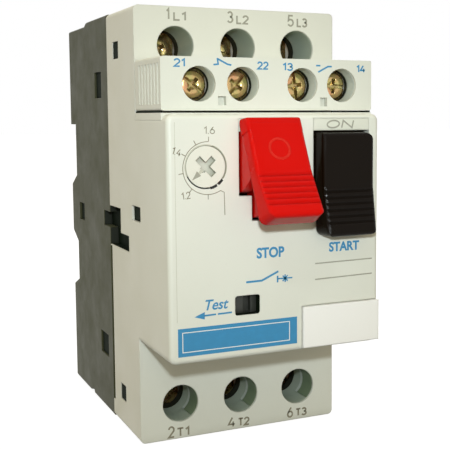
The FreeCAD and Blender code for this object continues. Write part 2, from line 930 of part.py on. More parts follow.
def load_strip(x):
    z, floor, roof, face, way = terminal_ends()[0]
    half = riser_width / 2
    level = roof - touch_gap
    run = block(x - half, x + half, strip_front, riser_y + strip_thickness, level - strip_thickness, level)
    riser = block(x - half, x + half, riser_y, riser_y + strip_thickness, level - strip_thickness, riser_top)
    return joined([strip_plate(x, z, floor, roof), run, riser])


def clamp_screw(x, z, front, head_radius, head_height, radius, tip_y):
    head = flat_rod_y(x, z, front, front + head_height, head_radius, head_sides)
    shank = flat_rod_y(x, z, front + head_height, tip_y, radius)
    reach = head_radius * drive_reach
    half = drive_slot / 2
    cross = joined([
        block(x - 2 * head_radius, x + 2 * head_radius, front, front + drive_depth / 2, z - half, z + half),
        block(x - reach, x + reach, front, front + drive_depth, z - half, z + half),
        block(x - half, x + half, front, front + drive_depth, z - reach, z + reach),
    ])
    return joined([head, shank]).cut(cross)


def terminal_screw(x, z):
    return clamp_screw(x, z, head_front, screw_head_radius, screw_head_height, screw_radius,
                       washer_front + screw_length)


def square_washer(x, z, front, side, thickness, bore):
    half = side / 2
    plate = block(x - half, x + half, front, front + thickness, z - half, z + half)
    return plate.cut(flat_bore_y(x, z, front, front + thickness, bore))


def clamp_washers():
    washers = []
    for x in pole_x:
        for z in (load_terminal_z, line_terminal_z):
            washers.append(square_washer(x, z, washer_front, washer_side, washer_thickness,
                                         screw_radius + thread_play))
    return Part.makeCompound(washers)


def contact_carrier():
    half_z = carrier_height / 2
    end = inner - carrier_end_gap
    pieces = [block(-end, end, carrier_y, carrier_back, carrier_z - half_z, carrier_z + half_z)]
    stirrup_back = bridge_back + overtravel
    stirrup_half = stirrup_height / 2
    for x in pole_x:
        for side in (-1, 1):
            x0 = x + side * (stirrup_inner + stirrup_arm) / 2 - stirrup_arm / 2
            pieces.append(block(x0, x0 + stirrup_arm, carrier_back, stirrup_back + stirrup_arm,
                                carrier_z - stirrup_half, carrier_z + stirrup_half))
        reach = stirrup_inner / 2 + stirrup_arm
        pieces.append(block(x - reach, x + reach, stirrup_back, stirrup_back + stirrup_arm,
                            carrier_z - stirrup_half, carrier_z + stirrup_half))
    rod_half = drive_rod_height / 2
    rod_reach = drive_fork + frame_plate
    rod_front = drive_pin_y - rod_half
    rod = block(-rod_reach, rod_reach, rod_front, carrier_y, drive_pin_z - rod_half, drive_pin_z + rod_half)
    fork = block(-drive_fork, drive_fork, rod_front, rod_front + fork_depth, drive_pin_z - rod_half,
                 drive_pin_z + rod_half)
    hole = flat_rod_x(drive_pin_y, drive_pin_z, -rod_reach, rod_reach, drive_pin_radius)
    return joined(pieces + [rod]).cut(Part.makeCompound([fork, hole]))


def contact_bridge(x):
    half = bridge_width / 2
    bar = block(x - half, x + half, bridge_front, bridge_back, lower_contact_z - bridge_overhang,
                upper_contact_z + bridge_overhang)
    pad = tip_side / 2 - touch_gap
    tips = [block(x - pad, x + pad, bridge_back, contact_face_y, z - pad, z + pad)
            for z in (lower_contact_z, upper_contact_z)]
    return joined([bar] + tips)


def contact_springs():
    springs = []
    for x in pole_x:
        spring = helix_spring(0, carrier_back, bridge_front, spring_radius, spring_wire, spring_turns)
        spring.rotate(Vector(0, 0, 0), Vector(1, 0, 0), -90)
        spring.translate(Vector(x, 0, carrier_z))
        springs.append(spring)
    return Part.makeCompound(springs)


def operating_lever():
    half = lever_width / 2
    y, z = lever_pivot_y, lever_pivot_z
    bar = block(-lever_thickness / 2, lever_thickness / 2, y - half, y + half, z - lever_tail,
                z + lever_reach + lever_head)
    slot_half = drive_pin_radius + 2 * pin_play
    slot = block(-lever_thickness, lever_thickness, y - slot_half, y + slot_half,
                 z + lever_reach - lever_head, z + lever_reach + lever_head)
    bore = rod_x(y, z, -lever_thickness, lever_thickness, drive_pin_radius + pin_play)
    shape = bar.cut(Part.makeCompound([slot, bore]))
    lean = math.degrees(math.atan2(drive_pin_y - y, lever_reach))
    shape.rotate(Vector(0, y, z), Vector(1, 0, 0), -lean)
    return shape


def lever_pin():
    reach = frame_gap + frame_plate
    return flat_rod_x(lever_pivot_y, lever_pivot_z, -reach, reach, drive_pin_radius)


def drive_pin():
    reach = drive_fork + frame_plate
    return flat_rod_x(drive_pin_y, drive_pin_z, -reach, reach, drive_pin_radius)


def mechanism_frame():
    front = panel_back + touch_gap
    outer = frame_gap + frame_plate
    side = [
        (front, frame_bottom),
        (frame_rear_y, frame_bottom),
        (frame_rear_y, frame_top + frame_raise),
        (frame_raise_y, frame_top + frame_raise),
        (frame_raise_y, frame_top),
        (front, frame_top),
    ]
    shape = slab_x(side, -outer, outer)
    space_top = frame_top + frame_raise
    shape = shape.cut(block(-frame_gap, frame_gap, front + frame_plate, frame_rear_y,
                            frame_bottom, space_top))
    return shape.cut(flat_rod_x(lever_pivot_y, lever_pivot_z, -outer, outer, drive_pin_radius))


def splitter_plate(x, z):
    half = pole_half - touch_gap
    back = base_floor - touch_gap
    notch = splitter_notch
    outline = [
        (x - half, splitter_y),
        (x - notch, splitter_y),
        (x, splitter_y + notch),
        (x + notch, splitter_y),
        (x + half, splitter_y),
        (x + half, back),
        (x - half, back),
    ]
    return slab_z(outline, z, z + splitter_thickness)


def arc_splitters():
    plates = []
    for x in pole_x:
        for stack in (lower_stack_z, upper_stack_z):
            for index in range(splitter_count):
                plates.append(splitter_plate(x, stack + index * splitter_pitch))
    return Part.makeCompound(plates)


def trip_coil(x):
    # Taped winding between two raised end bands, its upper lead and the lower fixed contact.
    end = coil_y + coil_length
    pieces = [flat_rod_y(x, coil_z, coil_y, end, coil_radius - coil_band_depth)]
    for y in (coil_y, end - coil_band):
        pieces.append(flat_rod_y(x, coil_z, y, y + coil_band, coil_radius))
    winding = joined(pieces).cut(flat_bore_y(x, coil_z, coil_y, end, coil_bore))
    half = strip_width / 2
    lead = block(x - half, x + half, strip_drop_y, strip_drop_y + strip_thickness,
                 coil_z + coil_bore + coil_band_depth, lower_contact_z + tip_side / 2)
    return joined([winding, lead, contact_tip(x, lower_contact_z)])


def coil_yoke(x):
    half = yoke_width / 2
    front = coil_y - yoke_gap - yoke_plate
    bottom = coil_z - coil_radius - yoke_gap - yoke_plate
    top = coil_z + coil_radius
    shape = block(x - half, x + half, front, yoke_back, bottom, top)
    space = block(x - half, x + half, front + yoke_plate, yoke_back - yoke_plate, bottom + yoke_plate, top)
    bore = flat_bore_y(x, coil_z, front, front + yoke_plate, plunger_radius + running_gap)
    return shape.cut(Part.makeCompound([space, bore]))


def magnet_plunger(x):
    return flat_rod_y(x, coil_z, plunger_front_y, plunger_front_y + plunger_length, plunger_radius)


def bimetal(x):
    half = bimetal_thickness / 2
    return block(x - half, x + half, riser_y - bimetal_width, riser_y, bimetal_bottom, bimetal_top)


def heater_windings():
    heaters = []
    for x in pole_x:
        half = bimetal_thickness / 2 + touch_gap
        front = riser_y - bimetal_width - touch_gap
        back = riser_y + touch_gap
        grow = heater_sleeve
        pieces = [block(x - half - grow, x + half + grow, front - grow, back + grow,
                        heater_bottom, heater_top)]
        grow = heater_sleeve + heater_ribbon
        for index in range(heater_turns):
            z = heater_bottom + heater_pitch * index + (heater_pitch - heater_ribbon_width) / 2
            pieces.append(block(x - half - grow, x + half + grow, front - grow, back + grow, z,
                                z + heater_ribbon_width))
        core = block(x - half, x + half, front, back, bimetal_bottom, bimetal_top)
        heaters.append(joined(pieces).cut(core))
    return Part.makeCompound(heaters)


def aux_case():
    shape = block(-half_width, half_width, aux_front, aux_rear, aux_bottom, aux_top)
    rim = edges_along(shape, Vector(0, 1, 0), lambda p: True)
    shape = shape.makeFillet(corner_radius / 2, rim)
    floor = aux_bottom + aux_wall
    roof = aux_top - aux_wall
    chamber_front = aux_front + aux_roof
    cuts = [block(-half_width + aux_wall, half_width - aux_wall, aux_back_front, aux_rear, floor, roof)]
    for x in aux_x:
        half = aux_chamber_width / 2
        cuts.append(block(x - half, x + half, chamber_front, aux_back_front, floor, roof))
        cuts.append(rod_y(x, aux_screw_z, aux_front, chamber_front, aux_access_diameter / 2))
        slot = aux_slot_width / 2
        washer_back = aux_head_front + aux_head_height + aux_washer_thickness
        cuts.append(block(x - slot, x + slot, washer_back - touch_gap, aux_strip_y + touch_gap,
                          roof, aux_top))
    half = aux_slider_width / 2 + touch_gap
    cuts.append(block(aux_slider_x - half, aux_slider_x + half, chamber_front, aux_back_front, floor, roof))
    pass_y0 = aux_bridge_y - running_gap
    pass_y1 = aux_bridge_y + aux_bridge_depth + running_gap
    cuts.append(block(aux_x[0], aux_x[-1], pass_y0, pass_y1, floor, floor + aux_pass_height))
    for x, z, width, height in aux_clip_windows:
        low = aux_bottom + z
        cuts.append(block(x, x + width, aux_front, aux_front + aux_clip_depth, low, low + height))
    for index in range(aux_rib_count):
        y = aux_front + aux_wall + index * aux_rib_pitch
        cuts += both_sides(block(-half_width, -half_width + aux_rib_depth, y, y + aux_rib_width, floor, roof))
    return shape.cut(Part.makeCompound(cuts))


def aux_back():
    play = touch_gap / 2
    floor = aux_bottom + aux_wall + play
    roof = aux_top - aux_wall - play
    side = half_width - aux_wall - play
    pieces = [block(-side, side, aux_back_front + play, aux_rear, floor, roof)]
    for way in (-1, 1):
        x0 = way * aux_leg_x - aux_leg_width / 2
        leg = [
            (aux_rear - play, aux_leg_z),
            (aux_leg_reach, aux_leg_z),
            (aux_leg_reach, aux_leg_z + aux_leg_height / 2),
            (wall + touch_gap, aux_leg_z + aux_leg_height + aux_wall / 2),
            (wall + touch_gap, aux_leg_z + aux_leg_height),
            (aux_rear - play, aux_leg_z + aux_leg_height),
        ]
        pieces.append(slab_x(leg, x0, x0 + aux_leg_width))
    return joined(pieces)


def aux_screw(x):
    return clamp_screw(x, aux_screw_z, aux_head_front, aux_head_radius, aux_head_height, aux_screw_radius,
                       aux_strip_back + touch_gap)


def aux_washers():
    front = aux_head_front + aux_head_height
    washers = [square_washer(x, aux_screw_z, front, aux_washer_side, aux_washer_thickness,
                             aux_screw_radius + thread_play) for x in aux_x]
    return Part.makeCompound(washers)


def aux_tab_levels():
    # Undersides of the fixed tabs: the opening pair hangs above its bridge, the closing pair lies below.
    floor = aux_bottom + aux_wall + touch_gap
    opening = floor + aux_bridge_thickness + aux_travel
    return floor, opening


def aux_terminals():
    floor, opening = aux_tab_levels()
    strips = []
    for x in aux_x:
        half = aux_strip_width / 2
        level = opening if x < aux_slider_x else floor
        plate = block(x - half, x + half, aux_strip_y, aux_strip_back, floor, aux_top - aux_wall - touch_gap)
        bore = flat_bore_y(x, aux_screw_z, aux_strip_y, aux_strip_back, aux_screw_radius + thread_play)
        tab_half = aux_tab_width / 2
        tab = block(x - tab_half, x + tab_half, aux_bridge_y, aux_strip_y,
                    level, level + aux_bridge_thickness)
        strips.append(joined([plate.cut(bore), tab]))
    return Part.makeCompound(strips)


def aux_slider():
    half = aux_slider_width / 2
    floor, opening = aux_tab_levels()
    return block(aux_slider_x - half, aux_slider_x + half, aux_bridge_y - touch_gap,
                 aux_strip_y - running_gap, floor - touch_gap / 2, floor + aux_slider_height)


def aux_bridge_open():
    floor, opening = aux_tab_levels()
    return block(aux_x[0] - aux_bridge_reach, aux_slider_x - aux_slider_width / 2, aux_bridge_y,
                 aux_bridge_y + aux_bridge_depth, floor, floor + aux_bridge_thickness)


def aux_bridge_close():
    floor, opening = aux_tab_levels()
    level = floor + aux_bridge_thickness
    return block(aux_slider_x + aux_slider_width / 2, aux_x[-1] + aux_bridge_reach, aux_bridge_y,
                 aux_bridge_y + aux_bridge_depth, level, level + aux_bridge_thickness)


def all_nodes():
    nodes = {
        "front_cover": front_cover(),
        "rear_base": rear_base(),
        "button_axle": button_axle(),
        "stop_button": stop_button(),
        "start_button": start_button(),
        "setting_dial": setting_dial(),
        "test_tab": test_tab(),
        "trip_slide": trip_slide(),
        "marker_plate": marker_plate(),
        "rail_latch": rail_latch(),
        "latch_spring": latch_spring(),
        "clamp_washers": clamp_washers(),
        "contact_carrier": contact_carrier(),
        "contact_springs": contact_springs(),
        "operating_lever": operating_lever(),
        "lever_pin": lever_pin(),
        "drive_pin": drive_pin(),
        "mechanism_frame": mechanism_frame(),
        "arc_splitters": arc_splitters(),
        "heater_windings": heater_windings(),
        "aux_case": aux_case(),
        "aux_back": aux_back(),
        "aux_washers": aux_washers(),
        "aux_terminals": aux_terminals(),
        "aux_slider": aux_slider(),
        "aux_bridge_open": aux_bridge_open(),
        "aux_bridge_close": aux_bridge_close(),
    }
    for number, x in enumerate(pole_x, 1):
        nodes[f"line_strip_{number}"] = line_strip(x)
        nodes[f"load_strip_{number}"] = load_strip(x)
        nodes[f"line_screw_{number}"] = terminal_screw(x, line_terminal_z)
        nodes[f"load_screw_{number}"] = terminal_screw(x, load_terminal_z)
        nodes[f"contact_bridge_{number}"] = contact_bridge(x)
        nodes[f"trip_coil_{number}"] = trip_coil(x)
        nodes[f"coil_yoke_{number}"] = coil_yoke(x)
        nodes[f"magnet_plunger_{number}"] = magnet_plunger(x)
        nodes[f"bimetal_{number}"] = bimetal(x)
    for number, x in enumerate(aux_x, 1):
        nodes[f"aux_screw_{number}"] = aux_screw(x)
    return nodes


os.makedirs("parts", exist_ok=True)
to_rail = Vector(0, -rail_y, -rail_centre_height)
for name, shape in all_nodes().items():
    shape.translate(to_rail)
    shape.exportStep(f"parts/{name}.step")
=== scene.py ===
import json
import math
import bmesh
import bpy
from mathutils import Matrix, Vector

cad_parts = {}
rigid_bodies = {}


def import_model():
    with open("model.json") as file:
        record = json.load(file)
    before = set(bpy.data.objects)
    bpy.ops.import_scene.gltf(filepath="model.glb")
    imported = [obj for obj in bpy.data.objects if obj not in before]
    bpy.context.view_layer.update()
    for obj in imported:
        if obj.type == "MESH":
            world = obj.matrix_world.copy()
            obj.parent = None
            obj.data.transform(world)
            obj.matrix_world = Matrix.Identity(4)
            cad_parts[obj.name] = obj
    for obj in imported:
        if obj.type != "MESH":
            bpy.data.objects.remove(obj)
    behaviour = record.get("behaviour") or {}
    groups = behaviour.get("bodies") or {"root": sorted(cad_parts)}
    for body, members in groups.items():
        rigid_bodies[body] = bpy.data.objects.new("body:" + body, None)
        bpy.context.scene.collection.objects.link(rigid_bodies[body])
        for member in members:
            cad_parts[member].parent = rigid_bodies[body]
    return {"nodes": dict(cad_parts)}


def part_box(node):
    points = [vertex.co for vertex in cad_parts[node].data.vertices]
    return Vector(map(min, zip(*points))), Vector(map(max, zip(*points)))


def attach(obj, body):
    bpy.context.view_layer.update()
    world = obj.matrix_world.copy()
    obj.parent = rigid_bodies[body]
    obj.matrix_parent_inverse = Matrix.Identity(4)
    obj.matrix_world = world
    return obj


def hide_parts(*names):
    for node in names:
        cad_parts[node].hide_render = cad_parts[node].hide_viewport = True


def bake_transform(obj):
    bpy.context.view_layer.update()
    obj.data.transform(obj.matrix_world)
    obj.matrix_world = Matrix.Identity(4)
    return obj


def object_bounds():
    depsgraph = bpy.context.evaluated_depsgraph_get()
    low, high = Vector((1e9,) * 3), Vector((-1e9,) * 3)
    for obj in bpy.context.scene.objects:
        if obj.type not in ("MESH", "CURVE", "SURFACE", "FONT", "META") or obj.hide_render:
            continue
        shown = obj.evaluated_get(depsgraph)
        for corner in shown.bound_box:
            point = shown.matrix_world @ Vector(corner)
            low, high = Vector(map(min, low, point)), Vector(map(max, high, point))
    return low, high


for leftover in list(bpy.data.objects):
    bpy.data.objects.remove(leftover)
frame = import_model()
cad_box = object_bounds()
nodes = frame["nodes"]

# Layout in millimetres: x = 0 at mid width, y = 0 on the terminal face, z = 0 on the bottom
RAIL_Y = 51.58
RAIL_Z = 47.2
HALF_WIDTH = 22.25
FACE_Y = 0.0
NOSE_Y = -19.42
AUX_Y = -16.4

# Terminal screws of the poles and of the auxiliary block
POLE_X = (-13.6, 0.0, 13.6)
UPPER_Z = 81.2
LOWER_Z = 7.45
AUX_SCREW_X = (-14.8, -5.9, 6.7, 15.4)
AUX_SCREW_Z = 73.05

# Rockers: middles, front face, axle (y, z) and the lean of the red one at rest
STOP_X = -1.95
START_X = 13.75
BUTTON_FACE_Y = -22.45
PIVOT = (-16.2, 63.6)
STOP_LEAN = math.radians(-26)

# How far flat marks stand out of their face and reach into it
PROUD = 0.02
SUNK = 0.03

BEVEL_SAMPLES = 4
OCCLUSION_SAMPLES = 6
SHARP_ANGLE = math.radians(35)
WHITE = (1.0, 1.0, 1.0, 1.0)


# Layout millimetres to the frame's metres
def metres(x, y, z):
    return Vector((x, y - RAIL_Y, z - RAIL_Z)) / 1000


# The same for a spot on the red rocker, given as if it stood upright
def leaned(x, y, z):
    pivot = metres(0, *PIVOT)
    return pivot + Matrix.Rotation(STOP_LEAN, 4, "X") @ (metres(x, y, z) - pivot)


def srgb(*levels):
    linear = []
    for level in levels:
        share = level / 255
        linear.append(share / 12.92 if share <= 0.04045 else ((share + 0.055) / 1.055) ** 2.4)
    return (*linear, 1.0)


def shade(color, factor):
    return (*(min(level * factor, 1.0) for level in color[:3]), 1.0)


# Node helpers

def put(tree, kind, inputs=None, **settings):
    node = tree.nodes.new(kind)
    for key, value in settings.items():
        setattr(node, key, value)
    for key, value in (inputs or {}).items():
        if isinstance(value, bpy.types.NodeSocket):
            tree.links.new(value, node.inputs[key])
        else:
            node.inputs[key].default_value = value
    return node


def object_place(tree):
    return put(tree, "ShaderNodeTexCoord").outputs["Object"]


def rounded_normal(tree, radius):
    return put(tree, "ShaderNodeBevel", {"Radius": radius}, samples=BEVEL_SAMPLES).outputs["Normal"]


def openness(tree, distance):
    inputs = {"Distance": distance}
    return put(tree, "ShaderNodeAmbientOcclusion", inputs, samples=OCCLUSION_SAMPLES).outputs["AO"]


def noise(tree, vector, scale, detail=3.0, roughness=0.55):
    inputs = {"Vector": vector, "Scale": scale, "Detail": detail, "Roughness": roughness}
    return put(tree, "ShaderNodeTexNoise", inputs).outputs["Fac"]


def spread(tree, value, low, high, to_low, to_high):
    inputs = {"Value": value, "From Min": low, "From Max": high, "To Min": to_low, "To Max": to_high}
    return put(tree, "ShaderNodeMapRange", inputs).outputs["Result"]


def times(tree, a, b):
    return put(tree, "ShaderNodeMath", {0: a, 1: b}, operation="MULTIPLY").outputs["Value"]


def blend_color(tree, amount, a, b):
    inputs = {0: amount, 6: a, 7: b}
    return put(tree, "ShaderNodeMix", inputs, data_type="RGBA", blend_type="MIX").outputs[2]


def edge_mask(tree, rounded, start, end):
    inputs = {0: rounded, 1: put(tree, "ShaderNodeNewGeometry").outputs["Normal"]}
    dot = put(tree, "ShaderNodeVectorMath", inputs, operation="DOT_PRODUCT").outputs["Value"]
    return spread(tree, dot, start, end, 0.0, 1.0)


def add_bump(tree, shader, height, strength, distance, normal=None):
    inputs = {"Height": height, "Strength": strength, "Distance": distance}
    if normal is not None:
        inputs["Normal"] = normal
    bump = put(tree, "ShaderNodeBump", inputs)
    tree.links.new(bump.outputs["Normal"], shader.inputs["Normal"])


def seen_directly(tree):
    path = put(tree, "ShaderNodeLightPath")
    inputs = {0: path.outputs["Is Camera Ray"], 1: path.outputs["Is Glossy Ray"]}
    return put(tree, "ShaderNodeMath", inputs, operation="MAXIMUM").outputs["Value"]


def new_material(name):
    material = bpy.data.materials.new(name)
    material.use_nodes = True
    return material, material.node_tree, material.node_tree.nodes["Principled BSDF"]


# Materials

def plastic(name, color, rough=0.5, grain=0.00045, depth=0.00003, mottle=0.05, wear=0.25, soil_and_shade=0.35,
            soil_shade_color=(0.28, 0.24, 0.17, 1.0), round_edge=0.0004, sheen=0.5):
    material, tree, shader = new_material(name)
    place = object_place(tree)
    rounded = rounded_normal(tree, round_edge)
    # Mottling and fine specks
    broad = noise(tree, place, 45.0, 4.0, 0.6)
    tone = blend_color(tree, broad, shade(color, 1 - mottle), shade(color, 1 + mottle))
    speck = spread(tree, noise(tree, place, 2600.0, 2.0), 0.64, 0.78, 0.0, 0.12)
    tone = blend_color(tree, speck, tone, shade(color, 0.72))
    # Pale wear along the edges
    edge = edge_mask(tree, rounded, 0.995, 0.86)
    worn = times(tree, edge, spread(tree, noise(tree, place, 420.0), 0.42, 0.72, 0.0, wear))
    tone = blend_color(tree, worn, tone, shade(color, 1.35))
    # Painted shade in the corners and creases, found by occlusion and mixed with grime
    corner_shade = spread(tree, openness(tree, 0.0022), 0.25, 0.9, 1.0, 0.0)
    grime_and_shade = times(tree, corner_shade, spread(tree, broad, 0.3, 0.7, 0.4, 1.0))
    soiled_shaded_tone = tuple(a * b for a, b in zip(color, soil_shade_color))
    tone = blend_color(tree, times(tree, grime_and_shade, soil_and_shade), tone, soiled_shaded_tone)
    tree.links.new(tone, shader.inputs["Base Color"])
    # Uneven gloss and a fine grain
    gloss = spread(tree, noise(tree, place, 160.0, 5.0, 0.65), 0.3, 0.7, rough - 0.07, rough + 0.08)
    tree.links.new(gloss, shader.inputs["Roughness"])
    add_bump(tree, shader, noise(tree, place, 1 / grain, 2.0, 0.5), 0.35, depth, rounded)
    shader.inputs["Specular IOR Level"].default_value = sheen
    return material


def metal(name, color, second, rough, brush=(1.0, 1.0, 1.0), tint=0.5, metallic=1.0):
    material, tree, shader = new_material(name)
    place = object_place(tree)
    rounded = rounded_normal(tree, 0.00018)
    # Cloudy tint, then brushed lines
    broad = noise(tree, place, 330.0, 3.0, 0.6)
    tone = blend_color(tree, spread(tree, broad, 0.38, 0.66, 0.0, tint), color, second)
    stretched = put(tree, "ShaderNodeMapping", {"Vector": place, "Scale": brush}).outputs["Vector"]
    lines = noise(tree, stretched, 1500.0, 3.0, 0.6)
    tone = blend_color(tree, spread(tree, lines, 0.45, 0.75, 0.0, 0.35), tone, shade(color, 0.7))
    # Bright edges, and painted shade darkening the corners
    edge = edge_mask(tree, rounded, 0.99, 0.8)
    tone = blend_color(tree, times(tree, edge, 0.5), tone, shade(color, 1.4))
    corner_shade = spread(tree, openness(tree, 0.0012), 0.2, 0.85, 1.0, 0.0)
    tone = blend_color(tree, times(tree, corner_shade, 0.5), tone, shade(color, 0.18))
    tree.links.new(tone, shader.inputs["Base Color"])
    shader.inputs["Metallic"].default_value = metallic
    gloss = spread(tree, lines, 0.3, 0.7, rough - 0.08, rough + 0.14)
    tree.links.new(gloss, shader.inputs["Roughness"])
    add_bump(tree, shader, lines, 0.25, 0.00002, rounded)
    return material


def printing(name, color, fade, rough=0.6):
    material, tree, shader = new_material(name)
    cloud = noise(tree, object_place(tree), 700.0, 4.0, 0.65)
    tone = blend_color(tree, spread(tree, cloud, 0.45, 0.8, 0.0, fade), color, shade(color, 1.5))
    tree.links.new(tone, shader.inputs["Base Color"])
    gloss = spread(tree, cloud, 0.3, 0.7, rough - 0.08, rough + 0.1)
    tree.links.new(gloss, shader.inputs["Roughness"])
    add_bump(tree, shader, cloud, 0.15, 0.00002)
    return material


def braid(name, color, second):
    material, tree, shader = new_material(name)
    turned = {"Vector": object_place(tree), "Rotation": (0.0, 0.6, 0.6)}
    slanted = put(tree, "ShaderNodeMapping", turned).outputs["Vector"]
    pattern = {"Vector": slanted, "Scale": 900.0, "Distortion": 1.2, "Detail": 2.0}
    weave = put(tree, "ShaderNodeTexWave", pattern).outputs["Fac"]
    tree.links.new(blend_color(tree, weave, color, second), shader.inputs["Base Color"])
    shader.inputs["Roughness"].default_value = 0.85
    add_bump(tree, shader, weave, 0.5, 0.0001)
    return material


cover = plastic("cover_plastic", srgb(229, 231, 221), rough=0.46, wear=0.18, soil_and_shade=0.4, round_edge=0.0003)
aux_cover = plastic("aux_plastic", srgb(226, 228, 217), rough=0.44, wear=0.0, soil_and_shade=0.3, grain=0.0004,
                    round_edge=0.00005)
base = plastic("base_plastic", srgb(73, 75, 53), rough=0.52, mottle=0.09, wear=0.4, soil_and_shade=0.3, sheen=0.15,
               soil_shade_color=(0.3, 0.3, 0.26, 1.0))
latch_plastic = plastic("latch_plastic", srgb(84, 82, 71), rough=0.45, mottle=0.07, wear=0.5, soil_and_shade=0.3)
red = plastic("red_plastic", srgb(202, 9, 2), rough=0.2, mottle=0.03, wear=0.12, soil_and_shade=0.9, sheen=0.09,
              soil_shade_color=(0.3, 0.08, 0.06, 1.0), round_edge=0.0005, depth=0.000015)
black = plastic("black_plastic", srgb(16, 9, 3), rough=0.2, mottle=0.12, wear=0.9, soil_and_shade=0.2, sheen=0.1,
                soil_shade_color=(0.5, 0.45, 0.4, 1.0), round_edge=0.0005, depth=0.000015)
dial_plastic = plastic("dial_plastic", srgb(230, 231, 219), rough=0.4, wear=0.15, soil_and_shade=1.0,
                       round_edge=0.0002, soil_shade_color=(0.2, 0.2, 0.14, 1.0))
white = plastic("marker_plastic", srgb(254, 254, 252), rough=0.42, mottle=0.006, wear=0.1, soil_and_shade=0.1,
                grain=0.0007, depth=0.000012)
inner = plastic("inner_plastic", srgb(72, 69, 60), rough=0.55, mottle=0.1, wear=0.4, soil_and_shade=0.4)
tab = plastic("tab_plastic", srgb(44, 46, 40), rough=0.4, mottle=0.08, wear=0.5, soil_and_shade=0.4)
bore = plastic("bore_plastic", srgb(176, 188, 174), rough=0.4, mottle=0.06, wear=0.1, soil_and_shade=0.3)
# Shaded copy of the hole-wall plastic, for painted shade on the walls that face the left
shaded_bore = plastic("shaded_bore_plastic", srgb(126, 144, 118), rough=0.4, mottle=0.06, wear=0.1, soil_and_shade=0.3)
film_plastic = plastic("film_plastic", srgb(224, 226, 213), rough=0.4, mottle=0.02, wear=0.0, soil_and_shade=0.1)
# Dark plastics for painted shade: deep in the holes, and behind the windows and gaps
depth_shade = plastic("depth_shade_plastic", srgb(38, 42, 34), rough=0.6, mottle=0.1, wear=0.1, soil_and_shade=0.3, sheen=0.2)
pit_shade = plastic("pit_shade_plastic", srgb(17, 25, 15), rough=0.7, mottle=0.1, wear=0.0, soil_and_shade=0.2, sheen=0.05)
# Lit copy of the hole-wall plastic, for painted light on a strip in the lower holes and on the auxiliary
# holes' walls
lit_bore = plastic("lit_bore_plastic", srgb(206, 215, 208), rough=0.4, mottle=0.03, wear=0.0, soil_and_shade=0.3)
ring_mark = plastic("ring_plastic", srgb(212, 38, 26), rough=0.3, mottle=0.04, wear=0.1, soil_and_shade=0.2,
                    sheen=0.14)
zinc = metal("yellow_zinc", srgb(196, 184, 118), srgb(218, 158, 118), 0.2, tint=0.9, metallic=0.85)
copper = metal("copper", srgb(205, 135, 96), srgb(180, 112, 84), 0.34, (1.0, 1.0, 0.08))
winding = metal("winding", srgb(150, 78, 44), srgb(112, 52, 30), 0.3, (0.1, 6.0, 0.1), tint=0.8)
steel = metal("steel", srgb(188, 189, 190), srgb(166, 168, 174), 0.36, (1.0, 0.08, 1.0))
bimetal = metal("bimetal", srgb(186, 172, 152), srgb(150, 150, 158), 0.4, (1.0, 1.0, 0.06), tint=0.8)
sleeve = braid("heater_sleeve", srgb(214, 204, 178), srgb(160, 146, 118))
blue_print = printing("blue_print", srgb(56, 138, 186), 0.22, rough=0.5)
white_print = printing("white_print", srgb(238, 240, 236), 0.05, rough=0.5)
dial_fill = printing("dial_fill", srgb(230, 231, 219), 0.05, rough=0.4)
grey_mark = printing("grey_mark", srgb(158, 158, 144), 0.4)
deep_mark = printing("deep_mark", srgb(136, 131, 112), 0.4)
notch_shade_mark = printing("notch_shade_mark", srgb(20, 20, 16), 0.2)
gap_shade_mark = printing("gap_shade_mark", srgb(150, 154, 134), 0.3)
faint_mark = printing("faint_mark", srgb(196, 196, 180), 0.3)

# Each material with the starts of its nodes' names
FINISHES = {
    cover: ("front_cover",),
    aux_cover: ("aux_case",),
    base: ("rear_base",),
    latch_plastic: ("rail_latch",),
    red: ("stop_button",),
    black: ("start_button",),
    dial_plastic: ("setting_dial",),
    white: ("marker_plate",),
    inner: ("contact_carrier", "trip_slide", "aux_slider", "aux_back", "operating_lever"),
    tab: ("test_tab",),
    zinc: ("clamp_washers", "aux_washers", "line_screw", "load_screw", "aux_screw"),
    copper: ("line_strip", "load_strip", "contact_bridge", "aux_terminals", "aux_bridge"),
    winding: ("trip_coil",),
    steel: ("button_axle", "contact_springs", "lever_pin", "drive_pin", "mechanism_frame", "arc_splitters",
            "latch_spring", "coil_yoke", "magnet_plunger"),
    bimetal: ("bimetal",),
    sleeve: ("heater_windings",),
}
for material, stems in FINISHES.items():
    for node_name, node in nodes.items():
        if node_name.startswith(stems):
            node.data.materials.clear()
            node.data.materials.append(material)


# Mesh helpers

def mesh_object(name, mesh):
    bmesh.ops.recalc_face_normals(mesh, faces=mesh.faces)
    data = bpy.data.meshes.new(name)
    mesh.to_mesh(data)
    mesh.free()
    piece = bpy.data.objects.new(name, data)
    bpy.context.scene.collection.objects.link(piece)
    return piece


def soften(data):
    data.shade_smooth()
    data.set_sharp_from_angle(angle=SHARP_ANGLE)


def smooth_piece(name, mesh, material):
    piece = mesh_object(name, mesh)
    soften(piece.data)
    piece.data.materials.append(material)
    return piece


# Faces between each ring of corners and the next, and from the last to the first if looped
def bridge(mesh, rings, looped=False, open_rings=False):
    following = rings[1:] + rings[:1] if looped else rings[1:]
    for first, second in zip(rings, following):
        for i in range(len(first) - 1 if open_rings else len(first)):
            j = (i + 1) % len(first)
            mesh.faces.new([first[i], first[j], second[j], second[i]])


def close_ends(mesh, rings):
    mesh.faces.new(list(reversed(rings[0])))
    mesh.faces.new(rings[-1])


def circle(sides):
    return [2 * math.pi * i / sides for i in range(sides)]


def arc(x, z, across, up, start, end, steps=14):
    turns = [math.radians(start + (end - start) * i / steps) for i in range(steps + 1)]
    return [(x + across * math.cos(t), z + up * math.sin(t)) for t in turns]


def ring_arc(x, z, radius, start, end, steps):
    return arc(x, z, radius, radius, start, end, steps)


def on_ring(x, z, radius, angle):
    return ring_arc(x, z, radius, angle, angle, 1)[0]


